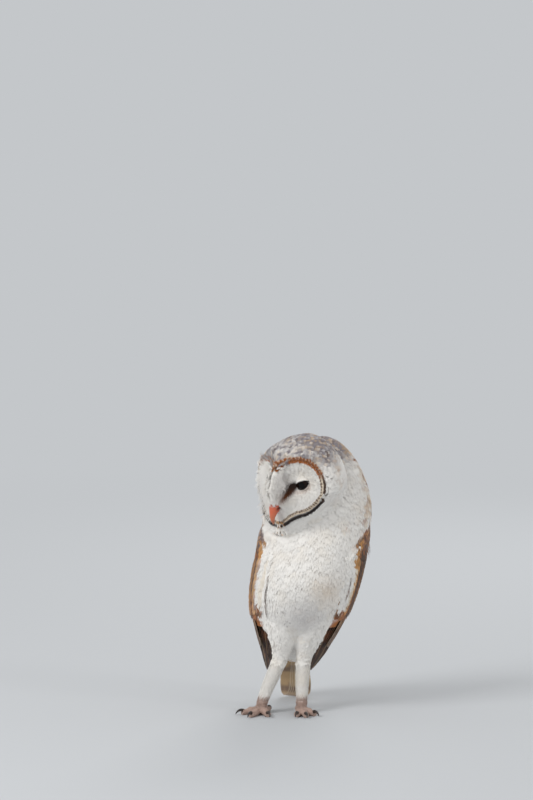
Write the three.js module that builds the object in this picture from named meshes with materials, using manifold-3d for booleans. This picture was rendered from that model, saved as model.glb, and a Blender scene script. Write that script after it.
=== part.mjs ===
// Barn owl, life size, standing on a flat floor with its head turned to its right and bowed.
// Millimetres. +Z is up, the breast faces -Y and the bird's left is +X.
// Each solid is the outline of the plumage, out to the feather tips.
import * as THREE from "three";
import { mergeVertices } from "three/addons/utils/BufferGeometryUtils.js";
import Module from "manifold-3d";

const wasm = await Module();
wasm.setup();

// ---- Driving dimensions ----

const GAP = 0.3; // between neighbouring solids
const NECK_CUT_Z = 198; // level where the neck meets the trunk

const HEAD_CENTRE = new THREE.Vector3(1, -18, 253);
const HEAD_TURN = { yaw: 42, pitch: 18, roll: 6 }; // degrees: to the bird's right, down, sideways
const DISC = { halfWidth: 52, top: 43, bottom: 44, notch: 0.2 };
const CHEEK = { left: 1.2, right: 2.7 }; // fullness of the disc's lower half: 1 is straight, 2 is round
const FACE = { reach: 41, sweep: 0.6, nose: 8 }; // how far forward, how fast it falls back, width left round
const SKULLCAP = { side: 52, crown: 57, chin: 46, back: 46 };
const EYE = { radius: 8.5, x: 20, y: -17.2, z: 8 };

// Body outline at named levels: level, then the furthest left, right, front and back.
const BODY_LEVELS = {
  undertail: [46, -14, 6, 64, 84],
  vent: [62, -26, 17, 30, 94],
  thigh: [80, -38, 31, 3, 101],
  belly: [103, -46, 46, -21, 95],
  flank: [124, -48, 54, -36, 86],
  breast: [145, -46, 60, -44, 78],
  wrist: [175, -42, 67, -42, 69],
  shoulder: [200, -41, 76, -35, 65],
  throat: [228, -37, 77.5, -27, 58],
  nape: [250, -27, 72, -16, 53],
  occiput: [272, -10, 62, -10, 47],
  napeTop: [286, 0, 51, -2, 39],
  crown: [295, 9, 40, 5, 31],
  crownTop: [299, 19, 30, 13, 23],
};

// The folded wings' outer surface at the same kind of levels.
const WING_LEVELS = {
  tip: [26, -36, 13, 98, 124],
  primaries: [53, -42, 30, 50, 120],
  tertials: [77, -48, 42, 10, 112],
  secondaries: [103, -53.5, 54, -18, 103],
  coverts: [124, -54.5, 61.5, -34, 94],
  forearm: [145, -52.5, 67.5, -42, 86],
  bend: [167, -49, 72, -44, 78],
  wrist: [185, -46, 75.5, -43, 72],
  top: [202, -43, 77, -40, 66],
};

const WING = {
  frontEdge: 49, // degrees round the body from the breast's midline
  tipEdge: 31, // the same at the tip, where the edge runs in behind the thigh
  backEdge: { shoulder: 148, tip: 172 },
  topZ: 199,
  tipZ: 30,
  tipAt: 0.24, // share of the width, from the front, where the longest feather ends
  shortening: { front: 20, back: 44 }, // how much higher the feathers at the two edges end
  depth: 16, // inner face, measured in from the outer surface
  tipThickness: 3,
};

// Leg joints in order: inside the belly, heel, ankle.
const LEGS = {
  left: { hip: [13, 8, 104], heel: [4, 15, 58], ankle: [2, 3, 10] },
  right: { hip: [-16, 10, 104], heel: [-21, 14, 58], ankle: [-41, 3, 10] },
};
const LEG_RADIUS = { hip: 21, heel: 8.6, ankle: 5.6 };

// Toes: heading in degrees from straight ahead, positive to the bird's left, and length to the claw.
const TOES = {
  left: { inner: [-12, 25], middle: [9, 29], outer: [37, 23], hind: [-166, 16] },
  right: { inner: [16, 25], middle: [-24, 29], outer: [-66, 23], hind: [152, 16] },
};
const TOE_RADIUS = { base: 4.5, tip: 3.3 };
const CLAW = { length: 12, radius: 2.1, rise: 22, drop: 82 }; // degrees up at its root, and bent down to its tip

// ---- Small tools ----

const rad = THREE.MathUtils.degToRad;
const mix = THREE.MathUtils.lerp;
const smooth = THREE.MathUtils.smoothstep;
const bell = (x, width) => Math.exp(-((x / width) ** 2));

// A closed geometry as a solid, turned right side out if its faces point inwards.
function solidOf(geometry) {
  const merged = mergeVertices(geometry, 1e-4);
  const vertProperties = merged.getAttribute("position").array;
  const triVerts = new Uint32Array(merged.index.array);
  const made = new wasm.Manifold(new wasm.Mesh({ numProp: 3, vertProperties, triVerts }));
  if (made.volume() > 0) return made;
  return new wasm.Manifold(new wasm.Mesh({ numProp: 3, vertProperties, triVerts: triVerts.reverse() }));
}

// A closed skin through rings of points, with a fan over each end.
function loft(rings) {
  const n = rings[0].length;
  const points = rings.flat();
  const faces = [];
  for (let r = 0; r + 1 < rings.length; r++)
    for (let i = 0; i < n; i++) {
      const j = (i + 1) % n;
      const [a, b, c, d] = [r * n + i, r * n + j, (r + 1) * n + j, (r + 1) * n + i];
      faces.push(a, b, c, a, c, d);
    }
  for (const [ring, turn] of [[0, true], [rings.length - 1, false]]) {
    const centre = new THREE.Vector3();
    rings[ring].forEach((p) => centre.addScaledVector(p, 1 / n));
    const pole = points.push(centre) - 1;
    for (let i = 0; i < n; i++) {
      const [a, b] = [ring * n + i, ring * n + ((i + 1) % n)];
      faces.push(...(turn ? [pole, b, a] : [pole, a, b]));
    }
  }
  const geometry = new THREE.BufferGeometry().setFromPoints(points);
  geometry.setIndex(faces);
  return solidOf(geometry);
}

// A tapering limb along a curve: radius(t) is [sideways, up] at t from 0 to 1, and across is its sideways direction.
function limb(points, radius, steps, sides, grow = 0, across = new THREE.Vector3(1, 0, 0)) {
  const path = new THREE.CatmullRomCurve3(points.map((p) => new THREE.Vector3(...p)));
  const rings = [];
  for (let s = 0; s <= steps; s++) {
    const centre = path.getPoint(s / steps);
    const along = path.getTangent(s / steps);
    const side = across.clone().projectOnPlane(along).normalize();
    const up = new THREE.Vector3().crossVectors(side, along);
    const [rs, ru] = radius(s / steps);
    rings.push(
      Array.from({ length: sides }, (_, i) => {
        const a = (2 * Math.PI * i) / sides;
        return centre
          .clone()
          .addScaledVector(side, (rs + grow) * Math.cos(a))
          .addScaledVector(up, -(ru + grow) * Math.sin(a));
      }),
    );
  }
  return loft(rings);
}

function largest(solid) {
  return solid.decompose().reduce((a, b) => (a.volume() > b.volume() ? a : b));
}

function block(low, high) {
  const size = new THREE.Vector3().subVectors(high, low);
  const box = new THREE.BoxGeometry(size.x, size.y, size.z).translate(
    (low.x + high.x) / 2, (low.y + high.y) / 2, (low.z + high.z) / 2,
  );
  box.deleteAttribute("normal");
  box.deleteAttribute("uv");
  return solidOf(box);
}

const REACH = 400;
const slab = (z0, z1) => block(new THREE.Vector3(-REACH, -REACH, z0), new THREE.Vector3(REACH, REACH, z1));

// ---- Body ovals ----

// Turns a table of levels into a function: (z, degrees round from the breast, inset) to a point.
function ovals(levels) {
  const rows = Object.values(levels);
  const spline = new THREE.CubicInterpolant(rows.map((r) => r[0]), rows.flatMap((r) => r.slice(1)), 4);
  return (z, degrees, inset = 0) => {
    const [left, right, front, back] = spline.evaluate(z);
    const angle = rad(degrees);
    const halfWidth = (right - left) / 2 - inset;
    const halfDepth = (back - front) / 2 - inset;
    return new THREE.Vector3(
      (left + right) / 2 + halfWidth * Math.sin(angle),
      (front + back) / 2 - halfDepth * Math.cos(angle),
      z,
    );
  };
}
const bodyAt = ovals(BODY_LEVELS);
const wingAt = ovals(WING_LEVELS);

function bodySolid(grow = 0) {
  const rows = 23;
  const sides = 28;
  const [bottom, top] = [BODY_LEVELS.undertail[0], BODY_LEVELS.crownTop[0]];
  const rings = [];
  for (let r = 0; r <= rows; r++) {
    const z = mix(bottom, top, 1 - (1 - r / rows) ** 1.25); // closer together near the top
    rings.push(Array.from({ length: sides }, (_, i) => bodyAt(z, (360 * i) / sides, -grow)));
  }
  return loft(rings);
}

// ---- Folded wings ----

// side is +1 for the bird's left wing. The plate runs u from the shoulder to the tip, v from front to back edge.
function wingSolid(side, grow = 0) {
  const along = 14;
  const across = 7;
  const face = (u, v, inner) => {
    const shoulder = WING.topZ - 30 * (2 * v - 0.9) ** 2;
    const fromTip = (v - WING.tipAt) / (v < WING.tipAt ? -WING.tipAt : 1 - WING.tipAt);
    const end = WING.tipZ + (v < WING.tipAt ? WING.shortening.front : WING.shortening.back) * fromTip ** 1.4;
    const z = mix(shoulder, end, u);
    const front = mix(WING.frontEdge, WING.tipEdge, smooth(u, 0.5, 0.9)) - 6 * side;
    const back = mix(WING.backEdge.shoulder, WING.backEdge.tip, smooth(u, 0.05, 0.38)) - 3 * side;
    const rounding = 1.6 * Math.abs(2 * v - 1) ** 6;
    const depth = mix(WING.depth, WING.tipThickness, smooth(u, 0.55, 0.95));
    return wingAt(z, side * mix(front, back, v), inner ? depth + grow : rounding - grow);
  };
  const rings = [];
  for (let s = 0; s <= along; s++) {
    const u = s / along;
    const outer = Array.from({ length: across + 1 }, (_, i) => face(u, i / across, false));
    const inner = Array.from({ length: across + 1 }, (_, i) => face(u, 1 - i / across, true));
    rings.push([...inner, ...outer]);
  }
  return loft(rings);
}

// ---- Head ----

const headMatrix = new THREE.Matrix4()
  .makeTranslation(HEAD_CENTRE)
  .multiply(new THREE.Matrix4().makeRotationY(rad(HEAD_TURN.roll)))
  .multiply(new THREE.Matrix4().makeRotationZ(-rad(HEAD_TURN.yaw)))
  .multiply(new THREE.Matrix4().makeRotationX(rad(HEAD_TURN.pitch)));

// Heart-shaped edge of the facial disc, seen from the front, at an angle round from the bird's left.
function discEdge(angle) {
  const [c, s] = [Math.cos(angle), Math.sin(angle)];
  const height = s > 0 ? DISC.top : DISC.bottom;
  const power = s > 0 ? 2.3 : c > 0 ? CHEEK.left : CHEEK.right;
  const radius = (Math.abs(c / DISC.halfWidth) ** power + Math.abs(s / height) ** power) ** (-1 / power);
  const dent = s > 0 ? 1 - DISC.notch * bell(angle - Math.PI / 2, 0.3) : 1;
  return [radius * c * dent, radius * s * dent];
}

// How far forward the face reaches at (x, z). share is 0 at the bill and 1 at the disc's edge.
function faceDepth(x, z, share) {
  const above = (z + Math.hypot(z, 12)) / 2; // the forehead slopes back more than the chin
  const slope = 0.22 * above + 0.0045 * above ** 2 + 0.002 * (above - z) ** 2;
  const sweep = FACE.reach + 1.5 - FACE.sweep * (Math.hypot(x, FACE.nose) - FACE.nose) - slope;
  const dish = 5.5 * Math.sin(Math.PI * Math.min(1, share)) * (1 - bell(x, 9));
  const ridge = 11 * bell(x, 7) * smooth(z, -26, -2) * (1 - 0.8 * smooth(z, 18, 42));
  const chin = 3.5 * bell(x, 9) * bell(z + 29, 11); // the hollow that the bill's tip lies in
  return sweep - dish + ridge - chin;
}

function headSolid(grow = 0) {
  const around = 36;
  const [faceRings, capRings] = [7, 8];
  const rings = [];
  const grown = (p) => p.add(p.clone().normalize().multiplyScalar(grow)).applyMatrix4(headMatrix);
  for (let r = 1; r <= faceRings + capRings; r++) {
    rings.push(
      Array.from({ length: around }, (_, i) => {
        const turn = (2 * Math.PI * i) / around;
        const angle = turn + 0.25 * Math.sin(2 * turn); // closer together along the face's midline
        const [ex, ez] = discEdge(angle);
        if (r <= faceRings) {
          const share = (r - 0.85) / (faceRings - 0.85);
          const [x, z] = [ex * share, ez * share - 4 * (1 - share)];
          return grown(new THREE.Vector3(x, -faceDepth(x, z, share), z));
        }
        const w = (r - faceRings) / (capRings + 0.35);
        const swing = (w * Math.PI) / 2;
        const height = Math.sin(angle) > 0 ? SKULLCAP.crown : SKULLCAP.chin;
        const rounder = smooth(w, 0, 0.7);
        const cap = new THREE.Vector3(
          mix(1.04 * ex, SKULLCAP.side * Math.cos(angle), rounder) * Math.cos(swing),
          SKULLCAP.back * Math.sin(swing),
          mix(Math.max(1.04 * ez, height * Math.sin(angle)), height * Math.sin(angle), rounder) * Math.cos(swing),
        );
        const edge = new THREE.Vector3(ex, -faceDepth(ex, ez, 1), ez);
        return grown(edge.lerp(cap, smooth(w, -0.06, 0.36)));
      }),
    );
  }
  return loft(rings);
}

const inHead = (points) => points.map((p) => new THREE.Vector3(...p).applyMatrix4(headMatrix).toArray());

function eyeSolid(side, grow = 0) {
  const ball = new THREE.SphereGeometry(EYE.radius + grow, 12, 8);
  ball.deleteAttribute("normal");
  ball.deleteAttribute("uv");
  ball.translate(side * EYE.x, EYE.y, EYE.z).applyMatrix4(headMatrix);
  return solidOf(ball);
}

const UPPER_BILL = [[0, -36, -8], [0, -41.5, -13], [0, -44.8, -19], [0, -46, -26], [0, -44.5, -32.5]];
const LOWER_BILL = [[0, -32, -19], [0, -37.5, -23], [0, -40.8, -29]];

function billSolid(points, width, depth, grow = 0) {
  const taper = (t) => (1 - t) ** 0.6;
  const across = new THREE.Vector3(1, 0, 0).transformDirection(headMatrix);
  const shape = (t) => [mix(0.5, width, taper(t)), mix(0.7, depth, taper(t))];
  return limb(inHead(points), shape, 8, 8, grow, across);
}
const upperBill = (grow) => billSolid(UPPER_BILL, 5.6, 5.6, grow);
const lowerBill = (grow) => billSolid(LOWER_BILL, 3.6, 2.6, grow);

// ---- Tail ----

const TAIL = {
  path: [[-5, 72, 100], [-5, 90, 66], [-4, 104, 32], [-3, 115, -4]],
  halfWidth: [13, 18],
  halfThickness: [5, 1.2],
};

function tailSolid(grow = 0) {
  return limb(
    TAIL.path,
    (t) => [mix(...TAIL.halfWidth, smooth(t, 0, 0.8)), mix(...TAIL.halfThickness, smooth(t, 0, 0.8))],
    7, 12, grow,
  );
}

// ---- Legs and feet ----

function thighSolid(side, grow = 0) {
  const { hip, heel } = LEGS[side];
  const low = [heel[0], heel[1], heel[2] - 3];
  const path = [hip, hip.map((v, k) => mix(v, low[k], 0.55)), low];
  return limb(path, (t) => Array(2).fill(mix(LEG_RADIUS.hip, LEG_RADIUS.heel, smooth(t, 0, 0.95))), 6, 12, grow);
}

function shankSolid(side, grow = 0) {
  const { heel, ankle } = LEGS[side];
  const foot = [ankle[0], ankle[1] - 1, 1];
  const shape = (t) => mix(LEG_RADIUS.heel, LEG_RADIUS.ankle, smooth(t, 0, 0.7)) + 1.4 * bell(t - 0.92, 0.09);
  return limb([heel, ankle, foot], (t) => [shape(t), shape(t)], 7, 9, grow);
}

// A toe leaves the ankle pad, arches over and ends at its claw, all in one upright plane.
function toePath(side, toe, from, to) {
  const [heading, length] = TOES[side][toe];
  const [ax, ay] = LEGS[side].ankle;
  const out = new THREE.Vector3(Math.sin(rad(heading)), -Math.cos(rad(heading)), 0);
  return Array.from({ length: 5 }, (_, i) => {
    const share = mix(from, to, i / 4);
    const knuckles = 0.9 * Math.sin(share * Math.PI * 2.5) ** 2;
    return [ax + out.x * length * share, ay + out.y * length * share, 2.5 + 3.4 * (1 - share) ** 2 + knuckles];
  });
}

const acrossToe = (heading) => new THREE.Vector3(Math.cos(rad(heading)), Math.sin(rad(heading)), 0);

function toeSolid(side, toe, grow = 0) {
  const knuckle = (t) => mix(TOE_RADIUS.base, TOE_RADIUS.tip, t) + 0.45 * Math.cos(t * Math.PI * 4);
  const across = acrossToe(TOES[side][toe][0]);
  return limb(toePath(side, toe, 0.12, 1), (t) => [knuckle(t), knuckle(t)], 6, 7, grow, across);
}

function clawSolid(side, toe, grow = 0) {
  const [heading, length] = TOES[side][toe];
  const [ax, ay] = LEGS[side].ankle;
  const size = toe === "hind" ? 0.9 : 1;
  const bend = rad(CLAW.drop) / 4;
  const out = [Math.sin(rad(heading)), -Math.cos(rad(heading))];
  const points = [];
  let [reach, height, tilt] = [length - 2.2, 4.6, rad(CLAW.rise)];
  for (let i = 0; i < 6; i++) {
    points.push([ax + out[0] * reach, ay + out[1] * reach, height]);
    reach += (Math.cos(tilt) * CLAW.length * size) / 5;
    height += (Math.sin(tilt) * CLAW.length * size) / 5;
    tilt -= bend;
  }
  const shape = (t) => Array(2).fill(CLAW.radius * (1 - t) ** 0.7 + 0.3);
  return limb(points, shape, 5, 5, grow, acrossToe(heading));
}

// ---- Assembly ----

const PAINT = {
  white: { color: 0xe9e4da, roughness: 0.9, metalness: 0 },
  gold: { color: 0xb98a52, roughness: 0.85, metalness: 0 },
  bill: { color: 0xd9a48c, roughness: 0.45, metalness: 0 },
  skin: { color: 0x9b8378, roughness: 0.7, metalness: 0 },
  claw: { color: 0x2c2624, roughness: 0.35, metalness: 0 },
  eye: { color: 0x0d0908, roughness: 0.08, metalness: 0 },
};

const owl = new THREE.Group();

function add(name, solid, paint) {
  const mesh = largest(solid).getMesh();
  const geometry = new THREE.BufferGeometry()
    .setAttribute("position", new THREE.BufferAttribute(mesh.vertProperties, 3))
    .setIndex(new THREE.BufferAttribute(mesh.triVerts, 1));
  const node = new THREE.Mesh(geometry, new THREE.MeshStandardMaterial(PAINT[paint]));
  node.name = name;
  owl.add(node);
}

const body = bodySolid();
const bodyGrown = bodySolid(GAP);
const headGrown = headSolid(GAP);
const aboveFloor = slab(0, REACH);

let head = headSolid().subtract(upperBill(GAP)).subtract(lowerBill(GAP));
for (const side of [1, -1]) head = head.subtract(eyeSolid(side, GAP));
add("head", head, "white");
add("bill_upper", upperBill(0), "bill");
add("bill_lower", lowerBill(0).subtract(upperBill(GAP)), "bill");
add("eye_left", eyeSolid(1), "eye");
add("eye_right", eyeSolid(-1), "eye");

add("neck", body.intersect(slab(NECK_CUT_Z + GAP / 2, REACH)).subtract(headGrown), "white");
const trunk = body.intersect(slab(0, NECK_CUT_Z - GAP / 2)).subtract(headGrown);
add("trunk", trunk.subtract(tailSolid(GAP)), "white");
add("tail", tailSolid().intersect(aboveFloor), "gold");

for (const [side, sign] of [["left", 1], ["right", -1]]) {
  add(`wing_${side}`, wingSolid(sign).subtract(bodyGrown).subtract(tailSolid(GAP)).subtract(headGrown), "gold");
  add(`thigh_${side}`, thighSolid(side).subtract(bodyGrown).subtract(wingSolid(sign, GAP)), "white");
}

for (const side of ["left", "right"]) {
  add(`shank_${side}`, shankSolid(side).intersect(aboveFloor).subtract(thighSolid(side, GAP)), "white");
  let taken = shankSolid(side, GAP);
  for (const toe of ["middle", "inner", "outer", "hind"]) {
    const toeOnly = toeSolid(side, toe).intersect(aboveFloor).subtract(clawSolid(side, toe, GAP));
    add(`toe_${side}_${toe}`, toeOnly.subtract(taken), "skin");
    add(`claw_${side}_${toe}`, clawSolid(side, toe), "claw");
    taken = taken.add(toeSolid(side, toe, GAP));
  }
}

// The origin is on the floor under the middle of the bird's own box.
const bounds = new THREE.Box3().setFromObject(owl);
const middle = bounds.getCenter(new THREE.Vector3());
owl.position.set(-middle.x, -middle.y, -bounds.min.z);

export default owl;
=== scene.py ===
import math

import bpy
import numpy as np
from mathutils import Matrix, Vector
from mathutils.bvhtree import BVHTree
from mathutils.kdtree import KDTree


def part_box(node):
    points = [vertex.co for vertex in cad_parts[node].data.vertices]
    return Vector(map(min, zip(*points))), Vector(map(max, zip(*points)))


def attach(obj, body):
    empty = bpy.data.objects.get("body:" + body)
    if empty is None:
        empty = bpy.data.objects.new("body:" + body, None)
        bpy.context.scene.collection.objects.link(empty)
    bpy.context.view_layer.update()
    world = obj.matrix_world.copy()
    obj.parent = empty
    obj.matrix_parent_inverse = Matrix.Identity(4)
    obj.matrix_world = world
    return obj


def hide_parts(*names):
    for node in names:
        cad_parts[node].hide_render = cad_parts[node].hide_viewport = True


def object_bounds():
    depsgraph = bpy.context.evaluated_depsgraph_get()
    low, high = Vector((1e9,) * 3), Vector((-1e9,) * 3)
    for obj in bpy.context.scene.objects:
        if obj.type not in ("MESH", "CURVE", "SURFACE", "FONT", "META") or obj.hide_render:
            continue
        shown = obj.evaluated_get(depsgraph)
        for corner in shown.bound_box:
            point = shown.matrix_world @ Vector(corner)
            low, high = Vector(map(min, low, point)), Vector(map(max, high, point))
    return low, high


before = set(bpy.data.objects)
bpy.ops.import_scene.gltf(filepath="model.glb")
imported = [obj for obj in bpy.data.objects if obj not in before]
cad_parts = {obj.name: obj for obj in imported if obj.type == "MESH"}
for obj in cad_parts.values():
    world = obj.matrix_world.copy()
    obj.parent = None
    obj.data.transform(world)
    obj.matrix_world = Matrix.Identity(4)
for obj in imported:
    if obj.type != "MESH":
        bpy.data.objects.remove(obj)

mm = 0.001
cad_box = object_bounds()


# ---- Camera ----
# A long lens set a few degrees above level, square to the breast.
# The bird stands in the lower half of an upright picture nearly three bird heights tall.
bird_height = cad_box[1].z
picture_height = 2.8 * bird_height
view_distance = 4.0
view_rise = math.radians(5)
aim = Vector((-0.131, -0.085, 1.111)) * bird_height
bpy.ops.object.camera_add(
    location=aim + view_distance * Vector((0, -math.cos(view_rise), math.sin(view_rise))),
    rotation=(math.pi / 2 - view_rise, 0, 0),
)
camera = bpy.context.object
camera.data.sensor_width = 36
camera.data.lens = 36 * view_distance / picture_height
bpy.context.scene.camera = camera
bpy.context.scene.view_settings.view_transform = "Standard"


# ---- Floor and light ----
# A wide pale floor that fades into a backdrop of the same tone, as in a plain studio.
# Three soft lamps and an even sky light the bird at a plain level.
class Shade:
    """A socket in a node tree. Sums on it add Math nodes, and node() adds any other kind."""

    def __init__(self, tree, socket=None):
        self.tree = tree
        self.socket = socket

    def node(self, kind, settings=(), sockets=(), output=0):
        made = self.tree.nodes.new(kind)
        for name, value in dict(settings).items():
            if name == "stops":
                ramp = made.color_ramp.elements
                while len(ramp) < len(value):
                    ramp.new(0.5)
                for element, (place, colour) in zip(ramp, value):
                    element.position = place
                    element.color = (*colour, 1)
            else:
                setattr(made, name, value)
        for name, value in dict(sockets).items():
            if isinstance(value, Shade):
                self.tree.links.new(value.socket, made.inputs[name])
            else:
                made.inputs[name].default_value = value
        return Shade(self.tree, made.outputs[output])

    def maths(self, operation, first, second):
        return self.node("ShaderNodeMath", {"operation": operation}, {0: first, 1: second})

    def __add__(self, other):
        return self.maths("ADD", self, other)

    def __radd__(self, other):
        return self.maths("ADD", other, self)

    def __sub__(self, other):
        return self.maths("SUBTRACT", self, other)

    def __rsub__(self, other):
        return self.maths("SUBTRACT", other, self)

    def __mul__(self, other):
        return self.maths("MULTIPLY", self, other)

    def __rmul__(self, other):
        return self.maths("MULTIPLY", other, self)

    def scaled(self, tone):
        """This colour, made darker or paler by a varying tone."""
        return self.node("ShaderNodeVectorMath", {"operation": "SCALE"}, {0: self, 3: tone})

    def feed(self, shader, name):
        self.tree.links.new(self.socket, shader.inputs[name])

    def emboss(self, shader, strength, distance):
        """Turns this height into relief on the shader."""
        sockets = {"Strength": strength, "Distance": distance, "Height": self}
        self.node("ShaderNodeBump", (), sockets).feed(shader, "Normal")


def new_material(name, roughness):
    """A material with its empty Shade and its Principled shader."""
    material = bpy.data.materials.new(name)
    material.use_nodes = True
    shader = material.node_tree.nodes["Principled BSDF"]
    shader.inputs["Roughness"].default_value = roughness
    return material, Shade(material.node_tree), shader


def put_on(piece, material):
    piece.data.materials.clear()
    piece.data.materials.append(material)


def colour(red, green, blue):
    """A linear colour from the usual 0 to 255 values."""
    levels = np.array([red, green, blue]) / 255
    return np.where(levels <= 0.04045, levels / 12.92, ((levels + 0.055) / 1.055) ** 2.4)


SKY_STRENGTH = 0.62

backdrop_tone = (*colour(196, 199, 202), 1)
bpy.ops.object.select_all(action="DESELECT")
bpy.ops.mesh.primitive_circle_add(vertices=96, radius=30, fill_type="NGON")
floor = bpy.context.object
floor.name = "floor"
floor_paint, shade, shader = new_material("pale_floor", 0.9)
shader.inputs["Base Color"].default_value = backdrop_tone
from_middle = shade.node("ShaderNodeVectorMath", {"operation": "LENGTH"}, {
    0: shade.node("ShaderNodeTexCoord", output=3),
}, output=1)
fade = shade.node("ShaderNodeMapRange", {"interpolation_type": "SMOOTHSTEP"}, {
    0: from_middle, 1: 0.5, 2: 2.6,
})
far_floor = shade.node("ShaderNodeEmission", (), {"Color": backdrop_tone})
near_floor = Shade(shade.tree, shader.outputs[0])
whole_floor = shade.node("ShaderNodeMixShader", (), {0: fade, 1: near_floor, 2: far_floor})
shade.tree.links.new(whole_floor.socket, shade.tree.nodes["Material Output"].inputs[0])
put_on(floor, floor_paint)

sky = bpy.data.worlds.new("studio")
sky.use_nodes = True
bpy.context.scene.world = sky
air = Shade(sky.node_tree)
seen = air.node("ShaderNodeLightPath")
glossy = air.node("ShaderNodeLightPath", output=3)
even_light = air.node("ShaderNodeBackground", (), {"Color": (1, 1, 1, 1), "Strength": SKY_STRENGTH})
backdrop = air.node("ShaderNodeBackground", (), {"Color": backdrop_tone, "Strength": 1.0})
shown = air.maths("MAXIMUM", seen, glossy)
whole_sky = air.node("ShaderNodeMixShader", (), {0: shown, 1: even_light, 2: backdrop})
sky.node_tree.links.new(whole_sky.socket, sky.node_tree.nodes["World Output"].inputs[0])

lamps = {  # place, size and power
    "key": ((-1.5, -1.4, 1.7), 0.9, 27),
    "fill": ((2.2, -1.6, 1.4), 0.5, 7),
    "rim": ((0.5, 2.0, 1.5), 1.0, 14),
}
for name, (place, size, power) in lamps.items():
    towards = Vector((0, 0, 0.5 * bird_height)) - Vector(place)
    bpy.ops.object.light_add(
        type="AREA", location=place, rotation=towards.to_track_quat("-Z", "Y").to_euler()
    )
    lamp = bpy.context.object
    lamp.name = name
    lamp.data.size = size
    lamp.data.energy = power


# ---- Skin ----
# The flesh of the bird under its feathers, from the crown down to the toes, as one closed piece.
# The plumage's outline is remeshed and smoothed, then drawn in by the depth that the feathers fill.
FLESH = {
    "head": ["head"],
    "body": ["neck", "trunk"],
    "wing": ["wing_left", "wing_right"],
    "thigh": ["thigh_left", "thigh_right"],
    "shank": ["shank_left", "shank_right"],
    "tail": ["tail"],
    "toe": [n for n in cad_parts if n.startswith("toe_")],
}
COAT_DEPTH = {
    "head": 2.8 * mm, "body": 4.2 * mm, "wing": 2.8 * mm,
    "thigh": 3.2 * mm, "shank": 1.3 * mm, "tail": 1.2 * mm, "toe": 0.1 * mm,
}
WING_STUMP = 88 * mm  # below this level there are only flight feathers
TAIL_STUMP = 62 * mm
ANKLE = 15 * mm


def only(piece):
    """Selects one object and makes it the active one."""
    bpy.ops.object.select_all(action="DESELECT")
    piece.select_set(True)
    bpy.context.view_layer.objects.active = piece


def join(pieces, name):
    bpy.ops.object.select_all(action="DESELECT")
    for piece in pieces:
        piece.select_set(True)
    bpy.context.view_layer.objects.active = pieces[0]
    if len(pieces) > 1:
        bpy.ops.object.join()
    pieces[0].name = name
    return pieces[0]


def edit(piece, operation, **settings):
    """Runs an edit operation on the whole of a piece."""
    only(piece)
    bpy.ops.object.mode_set(mode="EDIT")
    bpy.ops.mesh.select_all(action="SELECT")
    operation(**settings)
    bpy.ops.object.mode_set(mode="OBJECT")


def cad_copy(node):
    """A copy of a CAD node with its loose triangles merged into one closed mesh."""
    piece = bpy.data.objects.new(node + "_copy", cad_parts[node].data.copy())
    piece.data.materials.clear()
    bpy.context.scene.collection.objects.link(piece)
    edit(piece, bpy.ops.mesh.remove_doubles, threshold=0.001 * mm)
    return piece


def cut_copy(node, level, above=False):
    """A copy of a CAD node, closed at a level, without what is above it or else below it."""
    piece = cad_copy(node)
    edit(piece, bpy.ops.mesh.bisect, plane_co=(0, 0, level), plane_no=(0, 0, 1), use_fill=True,
         clear_outer=above, clear_inner=not above)
    return piece


def apply(piece, kind, **settings):
    """Adds a modifier to the piece and applies it."""
    only(piece)
    modifier = piece.modifiers.new(kind.lower(), kind)
    for name, value in settings.items():
        setattr(modifier, name, value)
    bpy.ops.object.modifier_apply(modifier=modifier.name)


def listed(items, field, width, kind=np.float32):
    """One field of a mesh's points, edges or faces, as rows of numbers."""
    flat = np.empty(width * len(items), kind)
    items.foreach_get(field, flat)
    return flat.reshape(-1, width)


def points_of(mesh):
    return listed(mesh.vertices, "co", 3).astype(float)


def normals_of(mesh):
    return listed(mesh.vertex_normals, "vector", 3).astype(float)


def triangles_of(mesh):
    return listed(mesh.polygons, "vertices", 3, np.int32)


def edges_of(mesh):
    return listed(mesh.edges, "vertices", 2, np.int32)


def store(mesh, name, values):
    """Keeps a number for each point under a name that a material reads."""
    marks = mesh.attributes.new(name, "FLOAT", "POINT")
    marks.data.foreach_set("value", values.astype(np.float32))


def move_points(mesh, points):
    mesh.vertices.foreach_set("co", points.astype(np.float32).ravel())
    mesh.update()


def fused(pieces, name, grain, rounds):
    """The pieces swollen until they touch, then remeshed into one closed surface and smoothed."""
    piece = join(pieces, name)
    apply(piece, "DISPLACE", strength=0.4 * mm, mid_level=0)
    apply(piece, "REMESH", mode="VOXEL", voxel_size=grain)
    apply(piece, "SMOOTH", factor=0.5, iterations=rounds)
    apply(piece, "DISPLACE", strength=-0.2 * mm, mid_level=0)
    apply(piece, "TRIANGULATE")
    return piece


def smooth(value, low, high):
    """0 below low, 1 above high and an even curve between, whichever of them is the larger."""
    share = np.clip((value - low) / (high - low), 0, 1)
    return share * share * (3 - 2 * share)


def nearness(points, node, reach):
    """1 on a CAD node's surface, falling to 0 at the given distance from it."""
    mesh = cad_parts[node].data
    tree = BVHTree.FromPolygons(points_of(mesh).tolist(), triangles_of(mesh).tolist())
    found = [tree.find_nearest(point, reach)[3] for point in points.tolist()]
    return 1 - np.array([reach if distance is None else distance for distance in found]) / reach


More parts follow.
